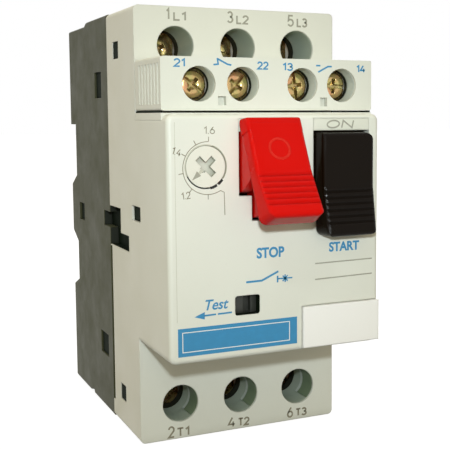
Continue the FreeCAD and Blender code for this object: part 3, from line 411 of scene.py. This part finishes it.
# Single-stroke characters one unit high: width, then their lines
LETTER_GAP = 0.22
LETTERS = {
    "1": (0.28, [[(0.0, 0.78), (0.26, 1.0), (0.26, 0.0)]]),
    "2": (0.56, [arc(0.28, 0.71, 0.27, 0.29, 170, -30) + [(0.0, 0.0), (0.56, 0.0)]]),
    "3": (0.54, [arc(0.26, 0.755, 0.25, 0.245, 155, -90), arc(0.26, 0.27, 0.28, 0.27, 90, -155)]),
    "4": (0.6, [[(0.36, 1.0), (0.0, 0.27), (0.6, 0.27)], [(0.44, 0.55), (0.44, 0.0)]]),
    "5": (0.54, [[(0.5, 1.0), (0.08, 1.0), (0.04, 0.52)] + arc(0.26, 0.31, 0.28, 0.31, 125, -150)]),
    "6": (0.56, [[(0.42, 1.0), (0.14, 0.62)] + arc(0.28, 0.3, 0.28, 0.3, 160, 500, 24)]),
    "L": (0.48, [[(0.0, 1.0), (0.0, 0.0), (0.48, 0.0)]]),
    "N": (0.7, [[(0.0, 0.0), (0.0, 1.0), (0.7, 0.0), (0.7, 1.0)]]),
    "O": (0.8, [arc(0.4, 0.5, 0.4, 0.5, 90, 450, 28)]),
    "T": (0.56, [[(0.0, 1.0), (0.56, 1.0)], [(0.28, 1.0), (0.28, 0.0)]]),
    ".": (0.06, [[(0.03, 0.0), (0.03, 0.1)]]),
}
SHARPEST_MITRE = 0.4


# Flat marks: outlines in x and z on a face, given a small thickness along y

class Marks:
    def __init__(self, name, material, body, face_y, place=metres):
        self.name = name
        self.material = material
        self.body = body
        self.face_y = face_y
        self.place = place
        self.mesh = bmesh.new()

    def faces(self, points, polygons):
        fronts = [self.mesh.verts.new((x, self.face_y - PROUD, z)) for x, z in points]
        backs = [self.mesh.verts.new((x, self.face_y + SUNK, z)) for x, z in points]
        used = {}
        for polygon in polygons:
            self.mesh.faces.new([fronts[i] for i in polygon])
            self.mesh.faces.new([backs[i] for i in reversed(polygon)])
            for a, b in zip(polygon, polygon[1:] + polygon[:1]):
                key = (min(a, b), max(a, b))
                used[key] = used.get(key, 0) + 1
        for (a, b), count in used.items():
            if count == 1:
                self.mesh.faces.new([fronts[a], fronts[b], backs[b], backs[a]])

    def polygon(self, points):
        self.faces(points, [list(range(len(points)))])

    def box(self, x0, x1, z0, z1):
        self.polygon([(x0, z0), (x1, z0), (x1, z1), (x0, z1)])

    def ribbon(self, points, width, closed=False):
        count = len(points)
        left, right = [], []
        for i in range(count):
            here = Vector(points[i])
            runs = []
            if closed or i > 0:
                runs.append((here - Vector(points[i - 1])).normalized())
            if closed or i < count - 1:
                runs.append((Vector(points[(i + 1) % count]) - here).normalized())
            middle = sum(runs, Vector((0, 0))).normalized()
            side = Vector((-middle.y, middle.x))
            mitre = max(side.dot(Vector((-runs[0].y, runs[0].x))), SHARPEST_MITRE)
            left.append(tuple(here + side * (width / 2 / mitre)))
            right.append(tuple(here - side * (width / 2 / mitre)))
        quads = []
        for i in range(count if closed else count - 1):
            j = (i + 1) % count
            quads.append([i, j, count + j, count + i])
        self.faces(left + right, quads)

    # Words in the built-in typeface, stretched over a box
    def text(self, words, x0, x1, z0, z1, slant=0.0, weight=0.0):
        curve = bpy.data.curves.new("words", "FONT")
        curve.body = words
        curve.shear = slant
        curve.offset = weight
        curve.resolution_u = 4
        holder = bpy.data.objects.new("words", curve)
        bpy.context.scene.collection.objects.link(holder)
        bpy.context.view_layer.update()
        graph = bpy.context.evaluated_depsgraph_get()
        mesh = bpy.data.meshes.new_from_object(holder.evaluated_get(graph))
        spots = [(v.co.x, v.co.y) for v in mesh.vertices]
        polygons = [list(p.vertices) for p in mesh.polygons]
        bpy.data.objects.remove(holder)
        bpy.data.meshes.remove(mesh)
        xs, ys = zip(*spots)
        across = (x1 - x0) / (max(xs) - min(xs))
        along = (z1 - z0) / (max(ys) - min(ys))
        self.faces([(x0 + (x - min(xs)) * across, z0 + (y - min(ys)) * along) for x, y in spots], polygons)

    # Single-stroke words that fill a box before they are turned about its middle
    def strokes(self, words, x0, x1, z0, z1, width, slant=0.0, turn=0.0):
        units = sum(LETTERS[c][0] for c in words) + LETTER_GAP * (len(words) - 1)
        wide = (x1 - x0 - width) / units
        tall = z1 - z0 - width
        middle = Vector(((x0 + x1) / 2, (z0 + z1) / 2))
        spin = Matrix.Rotation(math.radians(turn), 2)
        start = -units / 2
        for character in words:
            span, lines = LETTERS[character]
            for line in lines:
                spots = []
                for x, z in line:
                    up = (z - 0.5) * tall
                    spots.append(tuple(middle + spin @ Vector(((start + x) * wide + slant * up, up))))
                self.ribbon(spots, width)
            start += span + LETTER_GAP

    def finish(self):
        for vert in self.mesh.verts:
            vert.co = self.place(*vert.co)
        piece = mesh_object(self.name, self.mesh)
        piece.data.materials.append(self.material)
        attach(piece, self.body)


# Terminal numbers moulded on the upper and lower terminal faces: words and the box that they fill. Their grey
# is painted shade of the moulded lettering, darker on the lower face.
TERMINAL_PEN = 0.36
for name, material, entries in [
    ("upper_terminal_numbers", grey_mark, [
        ("1", -15.5, -14.75, 86.25, 88.6), ("L1", -14.0, -11.25, 86.1, 87.95),
        ("3", -2.4, -1.0, 86.1, 88.55), ("L2", -0.35, 2.5, 85.95, 87.85),
        ("5", 11.4, 12.95, 85.9, 88.4), ("L3", 13.6, 16.15, 85.85, 87.8),
    ]),
    ("lower_terminal_numbers", deep_mark, [
        ("2", -16.5, -15.0, 0.3, 2.85), ("T1", -14.6, -11.75, 0.3, 2.3),
        ("4", -3.05, -1.3, 0.5, 2.8), ("T2", -0.75, 2.0, 0.45, 2.35),
        ("6", 11.0, 12.5, 0.55, 3.0), ("T3", 13.1, 15.9, 0.6, 2.45),
    ]),
]:
    numbers = Marks(name, material, "housing", FACE_Y)
    for words, x0, x1, z0, z1 in entries:
        numbers.strokes(words, x0, x1, z0, z1, TERMINAL_PEN)
    numbers.finish()

# Auxiliary block: terminal numbers and the two contact symbols
AUX_PEN = 0.29
aux = Marks("aux_numbers", blue_print, "housing", AUX_Y)
for words, x0, x1, z0, z1 in [
    ("21", -19.7, -17.45, 76.05, 77.65), ("22", -3.0, -0.6, 75.85, 77.4),
    ("13", 2.35, 4.6, 75.7, 77.25), ("14", 18.75, 20.9, 75.6, 77.15),
]:
    aux.strokes(words, x0, x1, z0, z1, AUX_PEN)
aux.ribbon([(-11.9, 76.62), (-10.95, 76.72), (-11.12, 77.85)], 0.3)
aux.ribbon([(-11.0, 77.68), (-9.05, 76.72), (-8.3, 76.6)], 0.32)
aux.ribbon([(9.68, 76.85), (10.6, 76.85)], 0.3)
aux.ribbon([(10.15, 75.6), (12.3, 76.7), (13.15, 76.72)], 0.32)
aux.finish()

# Nose: words, arrow and switch symbol with its star
STAR = (1.3, 35.8)
STAR_REACH = 0.75
nose = Marks("nose_print", blue_print, "housing", NOSE_Y)
nose.text("STOP", -4.7, 1.15, 40.0, 42.1, weight=0.035)
nose.text("START", 10.95, 17.8, 40.25, 42.2, weight=0.035)
nose.text("Test", -15.2, -10.55, 31.0, 33.0, slant=0.28, weight=0.018)
nose.polygon([(-17.4, 29.95), (-15.35, 29.35), (-15.35, 30.75)])
nose.ribbon([(-15.4, 30.05), (-13.1, 30.12)], 0.32)
nose.ribbon([(-12.75, 30.12), (-9.9, 30.18)], 0.32)
nose.ribbon([(-6.9, 35.65), (-3.65, 35.72), (-0.15, 37.25)], 0.38)
nose.ribbon([(-0.32, 35.1), (-0.32, 36.4)], 0.32)
nose.ribbon([(-0.32, 35.8), (2.85, 35.8)], 0.26)
for slope in (45, 90, 135):
    nose.ribbon([on_ring(*STAR, STAR_REACH, slope + 180), on_ring(*STAR, STAR_REACH, slope)], 0.26)
nose.finish()

# Films over the rockers' flags, the word on one of them, and the edge of the printed film
FLAG_HALF = 6.23
FLAG_SINK = 0.03
WORD_SINK = 0.015
flags = Marks("flag_films", film_plastic, "housing", NOSE_Y + FLAG_SINK)
for middle in (START_X, STOP_X):
    flags.box(middle - FLAG_HALF, middle + FLAG_HALF, 64.23, 66.58)
flags.finish()
word = Marks("flag_word", grey_mark, "housing", NOSE_Y + WORD_SINK)
word.strokes("ON", 10.4, 16.4, 64.56, 66.27, 0.3, slant=0.25)
word.finish()
film = Marks("film_edge", faint_mark, "housing", NOSE_Y)
film.ribbon([(-20.75, 29.2), (-20.75, 66.0)], 0.07)
film.finish()

# Plain band with its border, and the two bare lines of the strip
band = Marks("blue_band", blue_print, "housing", NOSE_Y)
band.box(-20.65, 3.85, 22.68, 28.0)
band.finish()
border = Marks("band_border", white_print, "housing", NOSE_Y - PROUD)
border.ribbon([(-19.75, 23.5), (2.2, 23.5), (2.2, 27.2), (-19.75, 27.2)], 0.16, closed=True)
border.finish()
strip = Marks("bare_strip_lines", grey_mark, "housing", NOSE_Y)
strip.ribbon([(7.85, 38.15), (20.8, 38.3)], 0.24)
strip.ribbon([(7.85, 35.0), (20.8, 35.25)], 0.24)
strip.finish()

# Dial scale with its tail and numbers
SCALE = (-14.4, 57.55)
SCALE_RADIUS = 4.87
SCALE_LINE = 0.14
SCALE_PEN = 0.16
TAIL_ANGLE = -60
scale = Marks("dial_scale", deep_mark, "housing", NOSE_Y)
scale.ribbon(ring_arc(*SCALE, SCALE_RADIUS, TAIL_ANGLE, -272, 60), SCALE_LINE)
for angle in (88, 118, 152, 190, 230, 270):
    ends = [on_ring(*SCALE, SCALE_RADIUS + step, angle) for step in (0.05, 0.9)]
    scale.ribbon(ends, 0.15)
tail_x, tail_z = on_ring(*SCALE, SCALE_RADIUS, TAIL_ANGLE)
scale.ribbon([(tail_x, tail_z), (tail_x + 0.75, tail_z - 0.35), (tail_x + 0.85, tail_z - 4.6)], SCALE_LINE)
scale.strokes("1.6", -15.1, -12.95, 63.8, 65.2, SCALE_PEN)
scale.strokes("1.4", -21.3, -19.5, 60.0, 61.35, SCALE_PEN, turn=-18)
scale.strokes("1.2", -19.6, -17.85, 51.95, 53.3, SCALE_PEN, turn=8)
scale.finish()

# Marks along the gap round the dial, painted shade and painted light: radius, start, end, steps and width of
# each
DIAL = (-14.8, 57.8)


def gap_marks(name, material, *pieces):
    marks = Marks(name, material, "housing", NOSE_Y)
    for radius, start, end, steps, width in pieces:
        marks.ribbon(ring_arc(*DIAL, radius, start, end, steps), width)
    marks.finish()


# Painted shade: dark arcs in the stop notch and along the lower left of the gap
gap_marks("dial_stop_shade", notch_shade_mark,
          (4.05, 282, 302, 8, 0.5), (4.05, 306, 323, 8, 0.5), (4.03, 205, 282, 24, 0.14))

# The dial's pointer over the filled groove: angle, then corners along and across it
INLAY = ((0.95, 0.64), (0.95, 0.4), (1.25, 0.4), (1.25, -0.4), (0.95, -0.4), (0.95, -0.64),
         (2.17, -0.62), (2.17, -1.24), (3.27, 0.0), (2.17, 1.24), (2.17, 0.62))
SHAFT = ((0.9, 0.27), (0.9, -0.27), (1.9, -0.27), (1.9, 0.27))
POINTER = ((3.6, 0.0), (1.8, 0.6), (1.8, -0.6))
for name, material, sunk, angle, corners in [
    ("dial_inlay", dial_fill, 0.015, 225, INLAY),
    ("dial_shaft", faint_mark, 0.008, 222, SHAFT),
    ("dial_pointer", grey_mark, 0.0, 222, POINTER),
]:
    pointer = Marks(name, material, "dial", NOSE_Y + sunk)
    spin = Matrix.Rotation(math.radians(angle), 2)
    pointer.polygon([tuple(Vector(DIAL) + spin @ Vector(corner)) for corner in corners])
    pointer.finish()
# Painted shade along the right of the gap, and painted light over the gap's upper left
gap_marks("dial_gap_shade", gap_shade_mark, (4.04, 72, -34, 30, 0.22))
gap_marks("dial_rim_light", faint_mark, (4.04, 72, 205, 36, 0.22))

# Ring on the red rocker
ring = Marks("stop_ring", ring_mark, "stop_rocker", BUTTON_FACE_Y, leaned)
ring.ribbon(ring_arc(-2.1, 57.75, 2.0, 0, 360, 48)[:-1], 0.5, closed=True)
ring.finish()

# Crown of the red rocker: its top rises to the rear, so that it lies level while the rocker leans out
CROWN = [(-22.42, 61.5), (-22.42, 64.2), (-20.45, 64.8), (-20.0, 63.8), (-20.0, 61.5)]
CROWN_BACK_HALF = 5.92
CROWN_BACK_Y = -19.97
CROWN_DRAFT = 0.1405
CROWN_FLARE = 0.26
CROWN_ROUND = 0.45


def stop_crown():
    mesh = bmesh.new()
    slope = CROWN_DRAFT + CROWN_FLARE / (CROWN_BACK_Y - CROWN[0][0])
    sides = []
    for way in (-1, 1):
        corners = []
        for y, z in CROWN:
            half = CROWN_BACK_HALF + CROWN_FLARE - (CROWN_BACK_Y - y) * slope
            corners.append(mesh.verts.new((STOP_X + way * half, y, z)))
        sides.append(corners)
    mesh.faces.new(sides[0])
    mesh.faces.new(list(reversed(sides[1])))
    bridge(mesh, sides)
    soft = []
    for i in (0, 1):
        soft += [mesh.edges.get((side[i], side[i + 1])) for side in sides]
    soft += [mesh.edges.get((sides[0][i], sides[1][i])) for i in (1, 2)]
    bmesh.ops.recalc_face_normals(mesh, faces=mesh.faces)
    bmesh.ops.bevel(mesh, geom=soft, offset=CROWN_ROUND, segments=4, affect="EDGES", profile=0.5)
    for vert in mesh.verts:
        vert.co = leaned(*vert.co)
    piece = smooth_piece("stop_crown", mesh, red)
    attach(piece, "stop_rocker")


stop_crown()


# Screws with a domed head, slot, cross recess and helical thread, built round the y axis from the front

# Dome of the head: share of its radius, then depth
DOME = [(0, 0.6), (0.16, 0.5), (0.33, 0.16), (0.42, 0.05), (0.62, 0.1), (0.82, 0.28), (0.94, 0.52), (1, 0.95)]
HEAD_SIDES = 40
HEAD_ROUND = 0.12
NECK = 0.5
CORE = 0.8
# Slot and cross recess: turn, share of the head's radius that it reaches, and share of that at the bottom
SLOTS = [(0.0, 1.2, 1.0), (math.pi / 2, 0.6, 0.55)]
SLOT_HALF = 0.14
SLOT_DEPTH = 0.72
SLOT_TAPER = 0.7
SLOT_RISE = 0.4
# Thread: corners round it, rows for one pitch, root and height as shares of the radius, and bare tip
THREAD_SIDES = 20
THREAD_ROWS = 6
THREAD_ROOT = 0.84
THREAD_HEIGHT = 0.155
THREAD_TIP = 0.2


def lathe(profile, sides):
    mesh = bmesh.new()
    rings = []
    for radius, y in profile:
        if radius == 0:
            rings.append([mesh.verts.new((0, y, 0))])
            continue
        rings.append([mesh.verts.new((radius * math.cos(t), y, radius * math.sin(t))) for t in circle(sides)])
    for first, second in zip(rings, rings[1:]):
        for i in range(sides):
            j = (i + 1) % sides
            if len(first) == 1:
                mesh.faces.new([first[0], second[j], second[i]])
            elif len(second) == 1:
                mesh.faces.new([first[i], first[j], second[0]])
            else:
                mesh.faces.new([first[i], first[j], second[j], second[i]])
    return mesh


def slot_cutter(length, width, depth, tip, turn):
    mesh = bmesh.new()
    spin = Matrix.Rotation(turn, 3, "Y")
    rings = []
    for y, reach, half in ((-SLOT_RISE, length, width), (depth, tip * length, SLOT_TAPER * width)):
        corners = [(-reach, y, -half), (reach, y, -half), (reach, y, half), (-reach, y, half)]
        rings.append([mesh.verts.new(spin @ Vector(corner)) for corner in corners])
    bridge(mesh, rings)
    close_ends(mesh, rings)
    return mesh_object("cutter", mesh)


def cut_away(target, cutter):
    change = target.modifiers.new("cut", "BOOLEAN")
    change.operation = "DIFFERENCE"
    change.solver = "EXACT"
    change.object = cutter
    graph = bpy.context.evaluated_depsgraph_get()
    data = bpy.data.meshes.new_from_object(target.evaluated_get(graph))
    target.modifiers.clear()
    target.data = data
    bpy.data.objects.remove(cutter)


def thread_object(shank_radius, start, length, pitch):
    mesh = bmesh.new()
    rows = int((length - THREAD_TIP - start) / pitch * THREAD_ROWS)
    rings = []
    for i in range(rows + 1):
        line = []
        y = start + i * pitch / THREAD_ROWS
        for j, turn in enumerate(circle(THREAD_SIDES)):
            phase = (i / THREAD_ROWS + j / THREAD_SIDES) % 1.0
            radius = shank_radius * (THREAD_ROOT + THREAD_HEIGHT * (1 - abs(2 * phase - 1)))
            line.append(mesh.verts.new((radius * math.cos(turn), y, radius * math.sin(turn))))
        rings.append(line)
    bridge(mesh, rings)
    close_ends(mesh, rings)
    return mesh_object("shank", mesh)


def screw_mesh(name, head_radius, head_height, shank_radius, length, pitch):
    thread_start = head_height + NECK
    profile = [(share * head_radius, y) for share, y in DOME]
    profile += [(head_radius, head_height - HEAD_ROUND), (head_radius - HEAD_ROUND, head_height)]
    profile += [(shank_radius, head_height), (shank_radius, thread_start)]
    profile += [(CORE * shank_radius, thread_start), (CORE * shank_radius, length), (0, length)]
    head = mesh_object(name, lathe(profile, HEAD_SIDES))
    for turn, reach, tip in SLOTS:
        width = SLOT_HALF * head_radius
        cut_away(head, slot_cutter(reach * head_radius, width, SLOT_DEPTH * head_height, tip, turn))
    shank = thread_object(shank_radius, thread_start, length, pitch)
    both = bmesh.new()
    both.from_mesh(head.data)
    both.from_mesh(shank.data)
    bpy.data.objects.remove(head)
    bpy.data.objects.remove(shank)
    data = bpy.data.meshes.new(name)
    for vert in both.verts:
        vert.co /= 1000
    both.to_mesh(data)
    both.free()
    soften(data)
    data.materials.append(zinc)
    return data


main_screw = screw_mesh("terminal_screw", 3.55, 2.0, 2.0, 11.9, 0.7)
aux_screw = screw_mesh("auxiliary_screw", 2.9, 1.8, 1.5, 10.35, 0.5)
SCREW_TURNS = {
    "line_screw_1": 62, "line_screw_2": 15, "line_screw_3": 100,
    "load_screw_1": 40, "load_screw_2": 75, "load_screw_3": 20,
    "aux_screw_1": 38, "aux_screw_2": 128, "aux_screw_3": 82, "aux_screw_4": 4,
}
SCREW_SINK = 0.00002
for node_name, turn in SCREW_TURNS.items():
    low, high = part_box(node_name)
    data = aux_screw if node_name.startswith("aux") else main_screw
    piece = bpy.data.objects.new(node_name + "_detailed", data)
    bpy.context.scene.collection.objects.link(piece)
    place = Vector(((low[0] + high[0]) / 2, low[1] + SCREW_SINK, (low[2] + high[2]) / 2))
    piece.matrix_world = Matrix.Translation(place) @ Matrix.Rotation(math.radians(turn), 4, "Y")
    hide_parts(node_name)
    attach(piece, node_name + "_body")


# Latch spring: a round-wire coil that shortens between its seat on the base and the latch's window

def coil(name, turns, wire, steps=24, sides=8):
    low, high = (Vector(corner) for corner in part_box(name))
    middle = (low + high) / 2
    radius = (high.x - low.x) / 2 - wire
    rise = high.z - low.z - 2 * wire
    mesh = bmesh.new()
    rings = []
    for i in range(turns * steps + 1):
        angle = 2 * math.pi * i / steps
        out = Vector((math.cos(angle), math.sin(angle), 0))
        height = low.z + wire + rise * i / (turns * steps)
        centre = Vector((middle.x, middle.y, height)) + out * radius
        spots = [out * math.cos(bend) + Vector((0, 0, math.sin(bend))) for bend in circle(sides)]
        rings.append([mesh.verts.new(centre + spot * wire) for spot in spots])
    bridge(mesh, rings)
    close_ends(mesh, rings)
    piece = smooth_piece(name + "_coil", mesh, steel)
    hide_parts(name)
    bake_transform(piece)


coil("latch_spring", 5, 0.000225)


# Linings: walls of the terminal holes with painted light and shade, and dark sheets of painted shade behind
# them, in the windows and in the gaps

def tube(mesh, x, z, y0, y1, radii, wall=(0, 360), sides=48):
    outer, inside = radii
    start, end = wall
    whole = end - start == 360
    steps = sides * (end - start) // 360
    turns = [math.radians(start + (end - start) * i / steps) for i in range(steps if whole else steps + 1)]
    rings = []
    for radius, y in ((inside, y0), (outer, y0), (outer, y1), (inside, y1)):
        rings.append([mesh.verts.new((x + radius * math.cos(t), y, z + radius * math.sin(t))) for t in turns])
    bridge(mesh, rings, looped=True, open_rings=not whole)
    if not whole:
        mesh.faces.new([ring[0] for ring in rings])
        mesh.faces.new([ring[-1] for ring in reversed(rings)])


def slab(mesh, x0, x1, y0, y1, z0, z1):
    made = bmesh.ops.create_cube(mesh, size=1.0)
    for vert in made["verts"]:
        vert.co = Vector((
            (x0 + x1) / 2 + vert.co.x * (x1 - x0),
            (y0 + y1) / 2 + vert.co.y * (y1 - y0),
            (z0 + z1) / 2 + vert.co.z * (z1 - z0),
        ))


def side_slabs(mesh, x0, x1, y0, y1, z0, z1):
    for side in (-1, 1):
        slab(mesh, side * x0, side * x1, y0, y1, z0, z1)


def rounded_box(x0, x1, z0, z1, corner):
    spots = []
    for x, z, start in ((x1, z1, 0), (x0, z1, 90), (x0, z0, 180), (x1, z0, 270)):
        middle_x = x - corner if x == x1 else x + corner
        middle_z = z - corner if z == z1 else z + corner
        spots += ring_arc(middle_x, middle_z, corner, start, start + 90, 6)
    return spots


def window_wall(mesh, x, z, width, height, corner, y0, y1):
    rings = []
    for inset, y in ((0.06, y0), (0.01, y0), (0.01, y1), (0.06, y1)):
        spots = rounded_box(x + inset, x + width - inset, z + inset, z + height - inset, corner - inset)
        rings.append([mesh.verts.new((across, y, up)) for across, up in spots])
    bridge(mesh, rings, looped=True)


def lining(name, material, mesh):
    for vert in mesh.verts:
        vert.co = metres(*vert.co)
    piece = smooth_piece(name, mesh, material)
    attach(piece, "housing")


# Terminal holes: radii of the linings, and the wall that faces the left, painted in shade with a painted lit
# strip, and the rest of it, in degrees
BORE_RADII = (3.86, 3.8)
AUX_RADII = (3.3, 3.24)
FACING_WALL = (-52, 75)
OTHER_WALL = (75, 308)
# Depths in the holes: mouth, end of the painted shade and start of a painted lit strip, end of that strip,
# and start and end of the painted dark
MOUTH = 0.5
LIT_STRIP = 5.0
LIT_STRIP_END = 6.0
DARK = 9.4
DARK_END = 11.9
AUX_MOUTH = -15.7
AUX_DARK = -12.8
AUX_DARK_END = -11.7
# Side windows: y, z, length, height and how deep the painted shade behind them starts
SIDE_WINDOWS = [(11.5, 79.1, 4.2, 3.6, 0.15), (-2.4, 46.0, 5.9, 3.1, 0.5), (10.5, 5.7, 4.0, 3.6, 0.15),
                (25.9, 71.2, 5.7, 5.8, 0.4), (24.1, 12.5, 6.5, 5.1, 0.4), (44.3, 41.7, 4.8, 4.2, 0.5)]
WINDOW_INSET = 0.08
DARK_THICKNESS = 0.25
# Coupling openings: dark sheets of painted shade on the floor, on the ledge and on the walls that face the
# front, as x, y and z spans
COUPLING_FLOOR = (20.2, 20.4, 5.6, 25.9, 38.7, 47.9)
COUPLING_LEDGE = (20.45, 21.95, 6.05, 20.4, 39.0, 39.05)
COUPLING_WALLS = [
    (20.45, 22.15, 25.51, 25.55, 42.75, 46.05),
    (20.45, 22.15, 20.4, 20.44, 39.1, 42.65),
    (20.45, 22.15, 20.4, 20.44, 46.15, 47.55),
]
# Gap under the auxiliary block: the pad that narrows it and dark sheets of painted shade at its ends, as x, y
# and z spans
PAD = (-22.245, 22.245, -16.3, -0.1, 66.3, 67.72)
GAP_END = (21.9, 22.1, -16.2, -0.1, 67.7, 68.08)
# Test window: x, z, width, height and corner, and the y span of the painted shade on its walls
TEST_WINDOW = (-9.2, 29.4, 5.14, 3.75, 0.5)
TEST_WALLS = (NOSE_Y + 0.15, NOSE_Y + 1.75)

bores = bmesh.new()
shades = bmesh.new()
depth_shades = bmesh.new()
pit_shades = bmesh.new()
lit_walls = bmesh.new()
pads = bmesh.new()
slab(pads, *PAD)
for x in POLE_X:
    tube(bores, x, UPPER_Z, MOUTH, DARK, BORE_RADII)
    tube(shades, x, LOWER_Z, MOUTH, LIT_STRIP, BORE_RADII, FACING_WALL)
    tube(bores, x, LOWER_Z, MOUTH, LIT_STRIP, BORE_RADII, OTHER_WALL)
    tube(lit_walls, x, LOWER_Z, LIT_STRIP, LIT_STRIP_END, BORE_RADII, FACING_WALL)
    tube(bores, x, LOWER_Z, LIT_STRIP, LIT_STRIP_END, BORE_RADII, OTHER_WALL)
    tube(bores, x, LOWER_Z, LIT_STRIP_END, DARK, BORE_RADII)
    for z in (UPPER_Z, LOWER_Z):
        tube(depth_shades, x, z, DARK, DARK_END, BORE_RADII)
for x in AUX_SCREW_X:
    tube(lit_walls, x, AUX_SCREW_Z, AUX_MOUTH, AUX_DARK, AUX_RADII)
    tube(depth_shades, x, AUX_SCREW_Z, AUX_DARK, AUX_DARK_END, AUX_RADII)
for y, z, length, height, depth in SIDE_WINDOWS:
    face = HALF_WIDTH - depth
    span_y = (y + WINDOW_INSET, y + length - WINDOW_INSET)
    span_z = (z + WINDOW_INSET, z + height - WINDOW_INSET)
    side_slabs(pit_shades, face - DARK_THICKNESS, face, *span_y, *span_z)
side_slabs(pit_shades, *COUPLING_FLOOR)
side_slabs(pit_shades, *COUPLING_LEDGE)
side_slabs(pit_shades, *GAP_END)
for spans in COUPLING_WALLS:
    side_slabs(depth_shades, *spans)
window_wall(pit_shades, *TEST_WINDOW, *TEST_WALLS)
lining("bore_linings", bore, bores)
lining("shaded_linings", shaded_bore, shades)
lining("dark_shade_linings", depth_shade, depth_shades)
lining("window_shades", pit_shade, pit_shades)
lining("lit_linings", lit_bore, lit_walls)
lining("aux_pad", cover, pads)


# Stage: a pale floor that looks white from the camera, under a white background

FLOOR_HALF = 3.0
FLOOR_DROP = 0.0001
FLOOR_GLOW = 0.9
SKY_LIGHT = (0.505, 0.425, 0.265, 1.0)


def floor_material():
    material, tree, shader = new_material("pale_floor")
    shader.inputs["Base Color"].default_value = (0.22, 0.22, 0.22, 1.0)
    shader.inputs["Roughness"].default_value = 0.9
    strength = times(tree, seen_directly(tree), FLOOR_GLOW)
    glow = put(tree, "ShaderNodeEmission", {"Color": WHITE, "Strength": strength})
    both = put(tree, "ShaderNodeAddShader", {0: shader.outputs["BSDF"], 1: glow.outputs["Emission"]})
    tree.links.new(both.outputs["Shader"], tree.nodes["Material Output"].inputs["Surface"])
    return material


floor_mesh = bmesh.new()
bmesh.ops.create_grid(floor_mesh, x_segments=1, y_segments=1, size=FLOOR_HALF)
floor = mesh_object("floor", floor_mesh)
floor.location = (0, 0, cad_box[0][2] - FLOOR_DROP)
floor.data.materials.append(floor_material())

world = bpy.data.worlds.new("studio")
bpy.context.scene.world = world
world.use_nodes = True
sky_tree = world.node_tree
sky = blend_color(sky_tree, seen_directly(sky_tree), SKY_LIGHT, WHITE)
sky_tree.links.new(sky, sky_tree.nodes["Background"].inputs["Color"])


# Lamps: place, aim, spread in degrees, size, power and colour

def lamp(name, spot, aim, spread_angle, size, power, color):
    data = bpy.data.lights.new(name, "AREA")
    data.shape = "DISK"
    data.spread = math.radians(spread_angle)
    data.size = size
    data.energy = power
    data.color = color
    light = bpy.data.objects.new(name, data)
    bpy.context.scene.collection.objects.link(light)
    light.location = metres(*spot)
    light.rotation_euler = (metres(*spot) - metres(*aim)).to_track_quat("Z", "Y").to_euler()


lamp("key", (-73, -175, 90), (16.9, 0, 56.4), 75, 0.01, 0.0435, (0.8, 0.88, 0.91))
lamp("top_light", (-150, -235, 300), (0, -20, 55), 60, 0.02, 0.01, (0.95, 1.0, 1.0))
lamp("left_fill", (-160, 60, 260), (-22, 20, 90), 130, 0.2, 0.05, (1.0, 0.95, 0.8))
lamp("back_fill", (170, 280, 240), (0, 45, 45), 150, 0.3, 0.5, (0.8, 0.9, 1.0))

# Camera of the photo
CAMERA_SPOT = (-74.48, -176.36, 67.25)
YAW = math.radians(25.58)
PITCH = math.radians(5.438)
ROLL = math.radians(-0.222)
camera_data = bpy.data.cameras.new("camera")
camera_data.sensor_width = 36.0
camera_data.lens = 72.94
camera_data.shift_x = -0.1262
camera_data.shift_y = -0.0518
camera_data.clip_start = 0.01
camera = bpy.data.objects.new("camera", camera_data)
bpy.context.scene.collection.objects.link(camera)
forward = Vector((math.sin(YAW) * math.cos(PITCH), math.cos(YAW) * math.cos(PITCH), -math.sin(PITCH)))
level = Vector((math.cos(YAW), -math.sin(YAW), 0))
upright = level.cross(forward)
right = level * math.cos(ROLL) + upright * math.sin(ROLL)
up = upright * math.cos(ROLL) - level * math.sin(ROLL)
place = metres(*CAMERA_SPOT)
camera.matrix_world = Matrix((
    (right.x, up.x, -forward.x, place.x),
    (right.y, up.y, -forward.y, place.y),
    (right.z, up.z, -forward.z, place.z),
    (0, 0, 0, 1),
))
bpy.context.scene.camera = camera
bpy.context.scene.view_settings.view_transform = "Standard"
